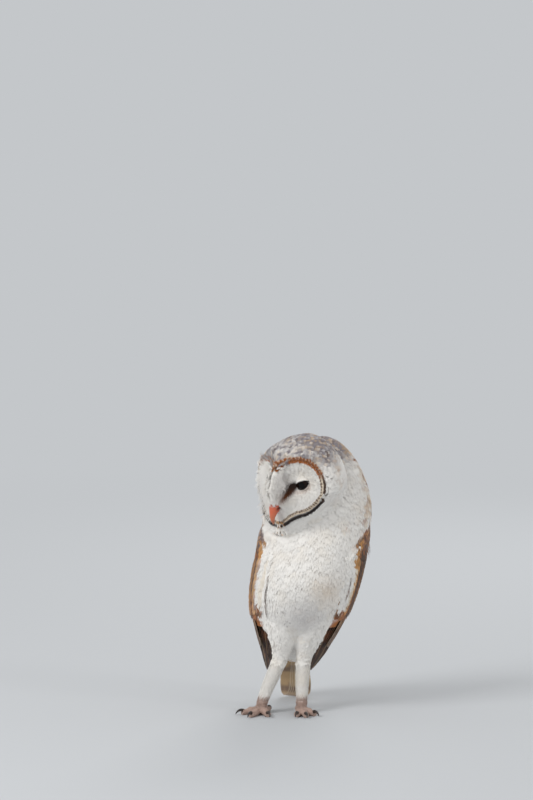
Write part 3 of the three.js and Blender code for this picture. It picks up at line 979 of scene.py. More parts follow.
def scatter(weight, spacing, reach=14 * mm):
    """Sampled roots spread over the skin where weight is above a half, about this far apart."""
    corners = skin_points[skin_faces]
    sides = corners[:, 1] - corners[:, 0], corners[:, 2] - corners[:, 0]
    area = np.linalg.norm(np.cross(*sides), axis=1) / 2
    wanted = weight[skin_faces].mean(1) > 0.5
    gap = np.broadcast_to(spacing, len(weight))[skin_faces].mean(1)
    crowd = np.where(wanted, area / gap ** 2, 0)
    count = int(4.5 * crowd.sum()) + 1
    face = chance.choice(len(area), count, p=crowd / crowd.sum())
    u, v = chance.random((2, count))
    flip = u + v > 1
    u, v = np.where(flip, 1 - u, u), np.where(flip, 1 - v, v)
    a, b, c = (corners[face, k] for k in range(3))
    spots = a + (b - a) * u[:, None] + (c - a) * v[:, None]
    tree = KDTree(count)
    for index, spot in enumerate(spots):
        tree.insert(spot, index)
    tree.balance()
    alive = np.ones(count, bool)
    kept = []
    for index in range(count):
        if alive[index]:
            kept.append(index)
            for _, other, _ in tree.find_range(spots[index], gap[face[index]]):
                alive[other] = False
    return in_the_open(sample(spots[kept]), reach)


def march(found, length, sway, lift):
    """Follows the lie over the skin from each root: points, normals and lies at five stations."""
    count = len(length)
    turn = chance.normal(0, sway, count)
    points, normals, lies = [], [], []
    now = found
    for station in range(STATIONS):
        along = now["flow"]
        side = np.cross(now["normal"], along)
        along = along * np.cos(turn)[:, None] + side * np.sin(turn)[:, None]
        rise = math.sin(math.pi / 2 * station / (STATIONS - 1)) ** 0.8
        height = now["depth"] * (0.12 + 0.88 * rise) * lift
        points.append(now["place"] + now["normal"] * height[:, None])
        normals.append(now["normal"])
        lies.append(along)
        if station + 1 < STATIONS:
            now = sample(now["place"] + along * (length / (STATIONS - 1))[:, None])
    return np.array(points), np.array(normals), np.array(lies), now


def fan(locks, droop=0.3, fine=1.0, ragged=0.1):
    """A feather of so many locks: points as (along, across, up) and triangles."""
    points, faces = [], []
    for lock in range(locks):
        q = 2 * lock / (locks - 1) - 1 if locks > 1 else 0.0
        root = 0.02 + 0.14 * abs(q)
        tip = 1 - droop * abs(q) ** 1.7 - ragged * chance.random()
        width = 1.35 / locks * fine
        layer = 0.6 * (lock % 2) - 0.4 * abs(q)
        start = len(points)
        for t, thick in ((0.0, 0.6), (0.42, 1.0), (0.8, 0.8)):
            s = root + (tip - root) * t
            x = q * math.sin(math.pi / 2 * min(1, 0.25 + t)) ** 0.8 * (0.35 + 0.65 * min(1, t * 2))
            for step, rise in ((-1, 0), (0, 0.9), (1, 0)):
                points.append((s, x + step * width * thick, layer + rise))
        points.append((tip, q * 0.94 + 0.5 * width * chance.uniform(-1, 1), layer))
        for ring in range(2):
            for k in range(3):
                a, b = start + 3 * ring + k, start + 3 * ring + (k + 1) % 3
                faces += [(a, b + 3, a + 3), (a, b, b + 3)]
        faces += [(start + 6 + k, start + 6 + (k + 1) % 3, start + 9) for k in range(3)]
        faces.append((start, start + 2, start + 1))
    return np.array(points), np.array(faces)


def placed(template, path, width, thick, tilt):
    """One feather mesh laid along every path: all their points, feather by feather."""
    points, normals, lies = path
    s = np.clip(template[:, 0], 0, 1) * (STATIONS - 1)
    low = np.minimum(s.astype(int), STATIONS - 2)
    part = (s - low)[None, :, None]
    at, up, along = (np.moveaxis(values, 0, 1) for values in (points, normals, lies))
    centre = at[:, low] * (1 - part) + at[:, low + 1] * part
    rise = unit(up[:, low] * (1 - part) + up[:, low + 1] * part)
    ahead = unit(along[:, low] * (1 - part) + along[:, low + 1] * part)
    side = np.cross(rise, ahead)
    x = template[:, 1][None, :] * width[:, None]
    up_by = template[:, 2][None, :] * thick - 0.05 * x * template[:, 1][None, :] + x * tilt[:, None]
    return centre + side * x[:, :, None] + rise * up_by[:, :, None]


def build(name, points, faces, paint, uv, vane, rim, finish, slot_name):
    """A coat piece from arrays, with its bake map, its vane map, its markings and sharp rims."""
    mesh = bpy.data.meshes.new(name)
    mesh.vertices.add(len(points))
    mesh.loops.add(3 * len(faces))
    mesh.polygons.add(len(faces))
    mesh.vertices.foreach_set("co", points.astype(np.float32).ravel())
    corners = faces.astype(np.int32).ravel()
    mesh.loops.foreach_set("vertex_index", corners)
    mesh.polygons.foreach_set("loop_start", np.arange(0, 3 * len(faces), 3, dtype=np.int32))
    mesh.update(calc_edges=True)
    for layer, where in (("OFBake", uv), ("Vane", vane)):
        flat = where[corners].astype(np.float32).ravel()
        mesh.uv_layers.new(name=layer).data.foreach_set("uv", flat)
    paint_points(mesh, paint)
    mesh.shade_smooth()
    sharp = rim[edges_of(mesh)].all(1)
    mesh.attributes.new("sharp_edge", "BOOLEAN", "EDGE").data.foreach_set("value", sharp)
    piece = bpy.data.objects.new(name, mesh)
    bpy.context.scene.collection.objects.link(piece)
    put_on(piece, finish)
    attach(piece, "root")


def plumes(found, length, width, shapes, colours_of, thick=FLAT, sway=0.08, lift=1.0, bent=0.1):
    """Feathers at these roots: their points, triangles, colours and both maps.

    A feather whose path crumples, or turns over by more than bent allows, is left out.
    """
    path = march(found, length, sway, lift)
    stride = np.linalg.norm(np.diff(path[0], axis=0), axis=2) * (STATIONS - 1) / length
    bend = np.sum(path[1][:-1] * path[1][1:], axis=2).min(0)
    whole = np.nonzero((stride.max(0) < 3.0) & (stride.min(0) > 0.25) & (bend > bent))[0]
    width = np.broadcast_to(width, len(length))[whole]
    found = picked(found, whole)
    path = (*(values[:, whole] for values in path[:3]), picked(path[3], whole))
    count = len(whole)
    lean = chance.normal(0, 0.02, count)
    kind = chance.integers(0, len(shapes), count)
    parts = []
    for shape, (template, faces) in enumerate(shapes):
        mine = np.nonzero(kind == shape)[0]
        if len(mine) == 0:
            continue
        stations = tuple(values[:, mine] for values in path[:3])
        points = placed(template, stations, width[mine], thick, lean[mine])
        paint = colours_of(picked(found, mine), picked(path[3], mine), template)
        patch = PATCH * np.stack([0.5 * template[:, 1], template[:, 0] - 0.5], 1)
        uv = found["uv"][mine][:, None] + patch[None]
        vane = np.tile(template[:, 1::-1][None], (len(mine), 1, 1))
        index = faces[None] + (np.arange(len(mine)) * len(template))[:, None, None]
        lots = [array.reshape(-1, array.shape[-1]) for array in (points, index, paint, uv, vane)]
        parts.append([*lots, np.tile(np.arange(len(template)) % 10 % 3 != 1, len(mine))])
    return parts


def planted(name, parts, finish, slot_name):
    """One coat piece from several lots of feathers."""
    start = 0
    for part in parts:
        part[1] = part[1] + start
        start += len(part[0])
    build(name, *(np.concatenate(lot) for lot in zip(*parts)), finish, slot_name)


def shaded(root_shade, jitter):
    """Plain feathers: painted shade at the root, and each a little different from its neighbours."""
    def colours_of(root, tip, template):
        paint = plumage(tip)[:, None, :]
        own = chance.normal(1, jitter, (len(paint), 1, 1))
        along = smooth(template[:, 0], 0.1, 0.75)[None, :, None]
        # The roots are darkened with painted shade, where other feathers cover them.
        return paint * own * (root_shade + (1 - root_shade) * along)
    return colours_of


def feather_finish(name, sheen, barb_count, depth_of_barbs):
    """Feather: the markings' colours, with fine slanting barbs and a soft bloom."""
    material, shade, shader = new_material(name, 0.72)
    shader.inputs["Specular IOR Level"].default_value = 0.25
    shader.inputs["Sheen Weight"].default_value = sheen
    shader.inputs["Sheen Roughness"].default_value = 0.5
    marks = shade.node("ShaderNodeAttribute", {"attribute_name": "Markings"})
    vane = shade.node("ShaderNodeUVMap", {"uv_map": "Vane"})
    across = shade.node("ShaderNodeSeparateXYZ", (), {0: vane})
    along = shade.node("ShaderNodeSeparateXYZ", (), {0: vane}, output=1)
    slant = along * barb_count - shade.maths("ABSOLUTE", across, 0) * (0.45 * barb_count)
    barbs = shade.maths("SINE", slant * (2 * math.pi), 0)
    place = shade.node("ShaderNodeTexCoord", output=3)
    soft = shade.node("ShaderNodeTexNoise", (), {"Vector": place, "Scale": 420.0, "Detail": 3.0})
    marks.scaled(0.95 + 0.08 * soft + 0.015 * barbs).feed(shader, "Base Color")
    (0.5 * barbs + soft).emboss(shader, 0.3, depth_of_barbs)
    return material


soft_feather = feather_finish("soft_feather", 0.2, 26, 0.07 * mm)
# The breast's few dark spots, in mm to the bird's left and up.
SPOTS = [(-5, 140), (-24, 115), (29, 113), (-31, 123), (-16, 101), (12, 158), (-14, 168)]

body_zone = fields["body"] + fields["thigh"] * (skin_points[:, 2] > 58 * mm)
body_zone = body_zone + fields["tail"] * (skin_points[:, 2] > 44 * mm)
upper = smooth(skin_points[:, 2], 190 * mm, 250 * mm)
lower = smooth(skin_points[:, 2], 100 * mm, 60 * mm)
roots = scatter(body_zone, 2.85 * mm - 0.4 * mm * lower - 0.3 * mm * upper, reach=4 * mm)
height = roots["place"][:, 2]
length = (19 - 7 * smooth(height, 90 * mm, 60 * mm) - 5 * smooth(height, 190 * mm, 250 * mm)) * mm
length *= chance.uniform(0.88, 1.12, len(length))
width = 0.32 * length
body_shapes = [fan(9, fine=1.15, ragged=0.22) for _ in range(6)]


def speckled(root, tip, template):
    """Body feathers: the few small dark spots of the front, and the back's dark and white drops."""
    paint = shaded(0.95, 0.015)(root, tip, template)
    count = len(root["place"])
    around = np.abs(round_body(root["place"]))
    drop = chance.random(count) < 0.4 * smooth(around, 95, 125)
    near = np.hypot((template[:, 0] - 0.86) / 0.09, template[:, 1] / 0.3)[None]
    paint = laid_over(paint, drop[:, None] * smooth(near, 1.25, 0.7), BLACK)
    paint = laid_over(paint, (drop & (around > 100))[:, None] * smooth(near, 0.55, 0.3), WHITE)
    for x, z in SPOTS:
        reach = np.hypot(tip["place"][:, 0] - x * mm, tip["place"][:, 2] - z * mm)
        reach = reach + 100 * mm * (around > 60)
        chosen = (reach == reach.min()) & (reach < 4 * mm)
        dot = chosen[:, None] * smooth(np.abs(template[:, 1]), 0.3, 0.1)
        paint = laid_over(paint, 0.9 * (dot * smooth(template[:, 0], 0.8, 0.88)), BROWN)
    return paint


in_front = np.abs(round_body(roots["place"])) < 62
high = height >= 120 * mm
on_left = roots["place"][:, 0] > 0
groups = {
    "coat_breast": in_front & high,
    "coat_belly": ~high,
    "coat_back_left": ~in_front & high & on_left,
    "coat_back_right": ~in_front & high & ~on_left,
}
for name, mine in groups.items():
    mine = np.nonzero(mine)[0]
    parts = plumes(picked(roots, mine), length[mine], width[mine], body_shapes, speckled)
    planted(name, parts, soft_feather, "white_plumage")


# ---- Head feathers ----
# Short dense feathers over the crown, nape and cheeks, lying back from the face.
# They are the smallest body feathers, mottled grey, buff and white on the crown.
local = in_head(skin_points)
behind_rim = np.where(local[:, 2] > 4 * mm, 0.98, 1.05)
crown_zone = fields["head"] * (face_share(local) > behind_rim)
crown_zone[lid_start:] = 0
roots = scatter(crown_zone, 2.1 * mm, reach=4 * mm)
length = chance.uniform(7.5, 10.0, len(roots["place"])) * mm
head_shapes = [fan(6) for _ in range(5)]


def mottled(root, tip, template):
    """Crown feathers: each with its own pale or dark fleck at the tip."""
    paint = shaded(0.93, 0.03)(root, tip, template)
    high = smooth(in_head(root["place"])[:, 2], 16 * mm, 34 * mm)
    luck = chance.random(len(high))
    near = smooth(template[:, 0], 0.62, 0.9)[None]
    paint = laid_over(paint, 0.6 * (((luck < 0.2) * high)[:, None] * near), WHITE)
    return laid_over(paint, 0.5 * (((luck > 0.82) * high)[:, None] * near), BROWN)


parts = plumes(roots, length, 0.27 * length, head_shapes, mottled, thick=0.1 * mm, sway=0.12)
planted("coat_crown", parts, soft_feather, "white_plumage")


# ---- Face bristles ----
# Fine white filaments of the facial disc, radiating from each eye towards the ruff.
# They are rufous and dusky beside the bill, short on the lids, and stand out at the far edge.
bristle = [fan(3, droop=0.2, fine=0.6) for _ in range(5)]


def halves(place):
    """The roots on each side of the bird or its head."""
    return {"left": np.nonzero(place[:, 0] > 0)[0], "right": np.nonzero(place[:, 0] <= 0)[0]}


local = in_head(skin_points)
disc_zone = fields["head"] * (face_share(local) < 1.03) * (beside_eye(local) > 7.2 * mm)
disc_zone[lid_start:] = 0
roots = scatter(disc_zone, 1.25 * mm, reach=3 * mm)
local = in_head(roots["place"])
share = face_share(local)
length = (3.6 + 4.6 * smooth(share, 0.2, 0.75)) * mm
length *= 0.45 + 0.55 * smooth(beside_eye(local), 8 * mm, 13 * mm)
length *= chance.uniform(0.8, 1.2, len(length))
far_edge = smooth(share, 0.8, 1.0) * smooth(local[:, 0], -12 * mm, -34 * mm)
off_ridge = np.where(local[:, 0] > 0, local[:, 0] + 4 * mm, -0.8 * local[:, 0])
on_ridge = smooth(off_ridge, 13 * mm, 8 * mm) * band(local[:, 2], -2 * mm, 30 * mm, 5 * mm)
lift = 1.0 + 2.2 * far_edge * chance.uniform(0.2, 1.0, len(length)) + 1.5 * on_ridge
finer = 0.8 * mm - 0.25 * mm * smooth(length, 5 * mm, 3 * mm) - 0.3 * mm * far_edge
face_parts = {
    side: plumes(picked(roots, mine), length[mine], finer[mine], bristle, shaded(0.95, 0.02),
                 thick=0.07 * mm, sway=0.14, lift=lift[mine])
    for side, mine in halves(local).items()
}

# Longer bristles stand up along the ridge between the eyes.
local = in_head(skin_points)
crest_zone = fields["face"] * (local[:, 0] < 5 * mm) * (local[:, 0] > -14 * mm)
crest_zone = crest_zone * band(local[:, 2], -8 * mm, 28 * mm, 1 * mm)
crest_zone = crest_zone * (beside_eye(local) > 7.5 * mm)
crest_zone[lid_start:] = 0
roots = scatter(crest_zone, 1.2 * mm, reach=1 * mm)
length = chance.uniform(5.0, 7.0, len(roots["place"])) * mm
face_parts["left"] += plumes(roots, length, 0.7 * mm, bristle, shaded(0.96, 0.02),
                             thick=0.06 * mm, sway=0.35, lift=2.8)

# Very short ones cover the outsides of the lids, back from their rims.
lid_zone = np.zeros(len(skin_points))
for side, centre in eye_centre.items():
    ray = skin_points - np.array(centre)
    outer_side = np.sum(ray * skin_normals, axis=1) > 0
    close_by = np.linalg.norm(ray, axis=1) < eye_radius + 2 * mm
    lid_zone += outer_side * close_by * (past_margin(skin_points, side) > 6)
lid_zone[:lid_start] = 0
roots = scatter(lid_zone, 0.95 * mm, reach=0.5 * mm)
length = chance.uniform(1.6, 2.4, len(roots["place"])) * mm
roots["depth"] = roots["depth"] * 0 + 0.35 * mm
for side, mine in halves(in_head(roots["place"])).items():
    face_parts[side] += plumes(picked(roots, mine), length[mine], 0.4 * mm, bristle,
                               shaded(0.95, 0.02), thick=0.05 * mm, sway=0.1)
for side, parts in face_parts.items():
    planted(f"coat_face_{side}", parts, soft_feather, "white_plumage")


# ---- Ruff ----
# Rows of small stiff scale-like feathers that frame the disc.
# They are orange-brown over the brow, thinly lined at the cheek and beaded black below.
RUFF_ROWS = {  # mm past the disc's rim, lift, and colours over the brow, at the side and below
    "barred": (-3.8, 1.15, RUFOUS * 1.3, BROWN, BROWN),
    "pale": (-2.0, 1.2, RUFOUS * 1.2, CREAM, CREAM),
    "beaded": (0.6, 1.3, RUFOUS * 1.1, BROWN * 0.8, BLACK),
    "brow": (1.4, 1.15, RUFOUS * 1.2, WHITE, WHITE),
    "skirt": (3.2, 1.05, WHITE, WHITE, WHITE),
    "lower skirt": (6.4, 1.05, WHITE, WHITE, WHITE),
    "hem": (9.4, 1.05, WHITE, WHITE, WHITE),
}
PLAIN_ROWS = ("skirt", "lower skirt", "hem")
STAGGERED_ROWS = ("pale", "brow", "skirt", "hem")  # set half a feather along from the others
RUFF_COUNT = 190
RIM_STEP = 0.6  # mm
RIM_STEPS = 44


def at_notch(turn):
    """1 at the notch in the middle of the brow, falling to 0 beside it."""
    return np.exp(-((np.degrees(turn) - 100) / 14) ** 2)


def rim_path(turn):
    """Walks out over the disc's edge at each turn: the places, and the first one at the rim."""
    out = np.stack([np.cos(turn), np.zeros(len(turn)), np.sin(turn)], 1)
    start = out * 0.72 * disc_radius(turn)[:, None] - np.array([0, 60 * mm, 0])
    ahead = Vector(head_axes @ np.array([0, 1.0, 0]))
    start = (start @ head_axes.T + np.array(head_centre)).tolist()
    place = np.array([skin_tree.ray_cast(Vector(p), ahead)[0] or p for p in start])
    places, reach = [], []
    heading = out @ head_axes.T
    for _ in range(RIM_STEPS):
        found = sample(place)
        heading = laid_flat(heading, found["normal"])
        places.append(found["place"])
        local = in_head(found["place"])
        reach.append(np.hypot(local[:, 0], local[:, 2]) - disc_radius(turn))
        place = found["place"] + heading * RIM_STEP * mm
    reach = np.array(reach)
    past = np.argmax((reach > -0.3 * mm) | (reach == reach.max(0)), axis=0)
    return np.array(places), past


def ruff_colours(row, brow_tint, side_tint, low_tint):
    """Scales of one row: coloured tips over pale roots, with beads, bars and a mottled chin."""
    def colours_of(root, tip, template):
        turn, bead = root["turn"], root["bead"]
        brow = smooth(np.sin(turn), 0.3, 0.5)
        below = smooth(np.sin(turn), 0.0, -0.2)
        tips = laid_over(laid_over(side_tint, brow, brow_tint), below, low_tint)
        bases = laid_over(WHITE, brow, GOLD * 0.9)
        if row == "pale":
            tips = laid_over(tips, 0.6 * bead * brow, BROWN)
            tips = laid_over(tips, bead * below * 0.25, RUFOUS)
        if row == "barred":
            tips = laid_over(tips, bead * (1 - brow) * 0.6, CREAM)
        chin = below * smooth(np.abs(np.cos(turn + 0.1)), 0.34, 0.12)
        luck = chance.random(len(turn))
        tips = laid_over(tips, 0.8 * chin * (luck < 0.3), GOLD)
        tips = laid_over(tips, 0.8 * chin * (luck > 0.72), WHITE if row == "beaded" else BROWN)
        tips = laid_over(tips, 0.75 * at_notch(turn) * (luck < 0.5), BROWN * 1.3)
        tips = laid_over(tips, 0.8 * at_notch(turn) * (luck > 0.62), CREAM)
        near = smooth(template[:, 0], 0.25, 0.42)[None, :, None]
        streak = smooth(np.abs(template[:, 1]), 0.5, 0.2)[None, :, None] * brow[:, None, None]
        paint = bases[:, None] * (1 - near) + tips[:, None] * near
        paint = paint * (1 - 0.35 * streak)
        pearl = (bead * brow * (row in ("beaded", "brow")))[:, None]
        return laid_over(paint, 0.7 * (pearl * smooth(template[:, 0], 0.66, 0.76)), CREAM)
    return colours_of


scale_shape = [fan(5, droop=0.2) for _ in range(4)]
parts = []
for row, (step, lift, *tints) in RUFF_ROWS.items():
    plain = row in PLAIN_ROWS
    turn = np.arange(RUFF_COUNT) + (0.5 if row in STAGGERED_ROWS else 0)
    turn = turn / RUFF_COUNT * 2 * math.pi
    if row == "brow":
        turn = turn[np.sin(turn) > 0.72]
    if plain:
        turn = turn[np.sin(turn) < 0.1]
    places, past = rim_path(turn)
    index = np.clip(past + round(step / RIM_STEP), 0, len(places) - 1)
    roots = sample(places[index, np.arange(len(turn))])
    out = np.stack([np.cos(turn), 0.55 + 0 * turn, np.sin(turn)], 1)
    roots["flow"] = laid_flat(out @ head_axes.T, roots["normal"])
    roots["turn"] = turn
    roots["bead"] = np.arange(len(turn)) % 2

    length = np.full(len(turn), 4.6 * mm)
    length *= 1 - 0.25 * (row == "pale") * smooth(np.sin(turn), 0.3, 0.0)
    length *= chance.uniform(0.9, 1.1, len(turn)) * (1.6 if plain else 1.0)
    length *= 1 - 0.3 * at_notch(turn)
    if row == "brow":
        length *= chance.uniform(0.65, 1.1, len(turn))
    slim = 0.24 if plain else 0.3
    parts += plumes(roots, length, slim * length, scale_shape, ruff_colours(row, *tints),
                    thick=0.7 * slim * mm, sway=0.06, bent=0.1 if plain else -1,
                    lift=lift + 0.35 * (row == "beaded") * smooth(np.sin(turn), 0.2, -0.1))

# Loose strands hang from the chin.
turn = np.linspace(math.radians(252), math.radians(300), 22)
places, past = rim_path(turn)
roots = sample(places[np.clip(past + 4, 0, len(places) - 1), np.arange(len(turn))])
roots["flow"] = laid_flat(roots["flow"] * 0 + [0, 0, -1.0], roots["normal"])
roots["depth"] = roots["depth"] + 0.6 * mm
length = chance.uniform(11, 17, len(turn)) * mm
parts += plumes(roots, length, 0.13 * length, [fan(4, fine=0.8, ragged=0.3) for _ in range(4)],
                shaded(0.97, 0.02), thick=0.12 * mm, sway=0.16, lift=1.45)
planted("ruff", parts, soft_feather, "white_plumage")


# ---- Leg and foot feathers ----
# Short hair-like white feathers down the shanks, and a few bristles along the tops of the toes.
# The legs of a barn owl are thinly clad, so the skin of the feet shows.
shank_zone = fields["shank"] + fields["thigh"] * (skin_points[:, 2] < 64 * mm)
shank_zone = shank_zone + fields["toe"] * (skin_points[:, 2] > 8 * mm)
roots = scatter(shank_zone, 1.35 * mm, reach=2.5 * mm)
length = chance.uniform(5.0, 7.0, len(roots["place"])) * mm
length *= 1 - 0.45 * smooth(roots["place"][:, 2], 16 * mm, 9 * mm)
parts = plumes(roots, length, 0.85 * mm, bristle, shaded(0.92, 0.03), thick=0.1 * mm, sway=0.1)
toe_zone = fields["toe"] * (skin_normals[:, 2] > 0.35) * (skin_points[:, 2] > 4 * mm)
roots = scatter(toe_zone, 2.3 * mm)
length = chance.uniform(1.8, 3.0, len(roots["place"])) * mm
roots["depth"] = roots["depth"] + 0.5 * mm


def toe_bristle(root, tip, template):
    return np.tile(FOOT * 1.12, (len(root["place"]), len(template), 1))


hair = [fan(2, fine=0.45) for _ in range(3)]
parts += plumes(roots, length, 0.3 * mm, hair, toe_bristle, thick=0.1 * mm, sway=0.3)
planted("coat_legs", parts, soft_feather, "white_plumage")


# ---- Wing coverts ----
# Small overlapping feathers over the folded wing, growing from the shoulder down.
# Rows of slender feathers line its front edge in white, gold and brown, and loose tufts stand
# at the left shoulder and below the right wing's front edge.
covert_end = 112 * mm + 10 * mm * smooth(wing_share(skin_points), 0.3, 0.8)
wing_zone = fields["wing"] * (skin_points[:, 2] > covert_end)
down_wing = smooth(skin_points[:, 2], 190 * mm, 120 * mm)
roots = scatter(wing_zone, 3.0 * mm + 1.2 * mm * down_wing)
down = smooth(roots["place"][:, 2], 190 * mm, 120 * mm)
length = (10 + 9 * down) * mm * chance.uniform(0.9, 1.1, len(down))


def covert_colours(root, tip, template):
    """Coverts: a dark shaft streak, and on some a black and white drop at the tip."""
    paint = shaded(0.85, 0.05)(root, tip, template)
    count = len(root["place"])
    inside = smooth(wing_share(root["place"]), 0.1, 0.25)
    drop = ((chance.random(count) < 0.4) * inside)[:, None]
    near = np.hypot((template[:, 0] - 0.86) / 0.1, template[:, 1] / 0.36)[None]
    paint = laid_over(paint, drop * smooth(near, 1.3, 0.7), BLACK)
    paint = laid_over(paint, drop * smooth(near, 0.6, 0.3), WHITE)
    bars = 0.25 * inside[:, None] * smooth(np.cos(template[:, 0] * 26), 0.3, 0.9)[None]
    return laid_over(paint, bars, BROWN)


covert_shapes = [fan(9, droop=0.26) for _ in range(5)]
slender = [fan(6, droop=0.22, ragged=0.16) for _ in range(5)]
EDGE_ROWS = {  # share across the wing, height of the top and bottom root in mm, width and colour
    "left": [
        # The thin dark row at 0.068 is painted shade in the fold at the wing's front edge.
        (0.035, 170, 122, 3.4, WHITE), (0.068, 160, 138, 1.0, BROWN * 1.3),
        (0.09, 168, 124, 3.0, WHITE), (0.12, 166, 122, 2.4, CREAM),
        (0.145, 174, 118, 2.8, GOLD), (0.175, 178, 116, 2.6, BROWN * 0.9),
        (0.205, 180, 116, 2.8, BROWN * 1.3), (0.24, 180, 114, 3.0, BROWN * 0.8),
        (0.27, 172, 120, 1.4, GOLD * 0.85), (0.3, 180, 116, 3.0, BROWN * 0.85),
        (0.34, 178, 116, 2.6, BROWN * 1.4), (0.38, 178, 118, 3.2, BROWN * 0.85),
        (0.42, 174, 122, 2.6, BROWN * 1.5),
    ],
    "right": [
        # The thin dark row at -0.04 is painted shade in the fold between breast and wing.
        (-0.04, 160, 122, 0.9, BROWN * 1.5), (-0.015, 182, 128, 3.2, WHITE),
        (0.02, 178, 130, 3.0, (CREAM + WHITE) / 2), (0.06, 182, 128, 2.6, WHITE),
        (0.09, 176, 122, 2.2, DUSK), (0.12, 178, 118, 2.6, BUFF),
        (0.16, 174, 112, 2.6, BROWN * 1.5), (0.2, 172, 114, 3.0, GOLD),
        (0.25, 174, 114, 2.6, GOLD * 0.85), (0.3, 170, 114, 2.8, GOLD * 1.05),
    ],
}
TUFTS = {
    "left": [(0.46, 186, 174, 2.6, BROWN), (0.5, 187, 176, 2.4, RUFOUS * 0.8)],
    "right": [(-0.03, 104, 84, 1.9, WHITE), (0.0, 100, 86, 1.9, WHITE)],
}
ROW_STEP = -4.2  # mm down from one root to the next


def row_down(across, top, bottom, sign):
    """Sampled roots down the wing at one share across it, from the top to the bottom height."""
    levels = np.arange(top, bottom, ROW_STEP)
    height = levels * mm + chance.normal(0, 0.6 * mm, len(levels))
    front, back = wing_edges(height, sign)
    around = np.radians(front + across * (back - front))
    out = np.stack([sign * np.sin(around), -np.cos(around), 0 * around], 1)
    starts = np.stack([*body_axis(height), height], 1) + 0.2 * out
    hits = [skin_tree.ray_cast(Vector(start), Vector(way))[0]
            for start, way in zip(starts.tolist(), (-out).tolist())]
    return sample(np.array([list(hit) for hit in hits if hit is not None]))


def plainly(tint):
    """Feathers of one colour with painted shade at the root; dark ones take in some of the colour
    beneath.
    """
    dark = tint.mean() < 0.6

    def colours_of(root, tip, template):
        spread = 0.25 if dark else 0.03
        tone = chance.uniform(1 - spread, 1 + spread, len(root["place"]))[:, None, None]
        # fade darkens each root with painted shade.
        fade = (0.8 + 0.2 * smooth(template[:, 0], 0.0, 0.5))[None, :, None]
        ground = tint + 0.45 * dark * (plumage(tip) - tint)
        return ground[:, None] * tone * fade
    return colours_of


def lined(rows, sign, shortest, longest, **manner):
    """Slender feathers in rows down the wing."""
    parts = []
    for across, top, bottom, width, tint in rows:
        row = row_down(across, top, bottom, sign)
        length = chance.uniform(shortest, longest, len(row["place"])) * mm
        parts += plumes(row, length, width * mm, slender, plainly(tint), **manner)
    return parts


for side, mine in halves(roots["place"]).items():
    sign = 1 if side == "left" else -1
    parts = plumes(picked(roots, mine), length[mine], 0.3 * length[mine], covert_shapes,
                   covert_colours, thick=0.14 * mm)
    parts += lined(EDGE_ROWS[side], sign, 17, 22, thick=0.14 * mm, sway=0.04, lift=1.35)
    parts += lined(TUFTS[side], sign, 11, 16, thick=0.1 * mm, sway=0.2,
                   lift=2.1 if side == "left" else 1.4)
    planted(f"coat_wing_{side}", parts, soft_feather, "gold_plumage")


# ---- Flight feathers ----
# Stiff quills of the folded wings: ten primaries in a stack at the front edge, the secondaries
# over them, and the pale undersides seen within. Each is a closed vane with a raised shaft.
WING_LEVELS = np.array([26, 53, 77, 103, 124, 145, 167, 185, 202]) * mm
WING_SIDES = np.array([  # the folded wings' right, left, front and back at each level
    (-40.3, 8.7, 72.1, 98.1), (-46.3, 25.7, 24.1, 94.1), (-52.3, 37.7, -15.9, 86.1),
    (-57.8, 49.7, -43.9, 77.1), (-58.8, 57.2, -59.9, 68.1), (-56.8, 63.2, -67.9, 60.1),
    (-53.3, 67.7, -69.9, 52.1), (-50.3, 71.2, -68.9, 46.1), (-47.3, 72.7, -65.9, 40.1),
]) * mm
WING_TIP = {"height": 30 * mm, "at": 0.24, "front": 20 * mm, "back": 44 * mm}
WEB = np.array([-1, -0.72, -0.4, -0.09, 0, 0.09, 0.4, 0.72, 1])  # lines along a vane


def on_wing(sign):
    """The outer surface of a folded wing: places from shares along and across it, and an inset."""
    def surface(along, across, inset):
        shoulder = 199 * mm - 30 * mm * (2 * across - 0.9) ** 2
        tip = WING_TIP["at"]
        away = np.abs(across - tip) / np.where(across < tip, tip, 1 - tip)
        rise = np.where(across < tip, WING_TIP["front"], WING_TIP["back"])
        end = WING_TIP["height"] + rise * away ** 1.4
        level = shoulder + (end - shoulder) * along
        front = 49 - 18 * smooth(along, 0.5, 0.9) - 6 * sign
        back = 148 + 24 * smooth(along, 0.05, 0.38) - 3 * sign
        turn = np.radians(front + (back - front) * across) * sign
        left, right, fore, aft = (np.interp(level, WING_LEVELS, sides) for sides in WING_SIDES.T)
        x = (left + right) / 2 + ((right - left) / 2 - inset) * np.sin(turn)
        y = (fore + aft) / 2 - ((aft - fore) / 2 - inset) * np.cos(turn)
        return np.stack([x, y, level], -1)
    return surface


def wing_depth(along):
    """How thick the folded wing is at a share of its length."""
    return mm * (16 - 13 * smooth(along, 0.55, 0.95))


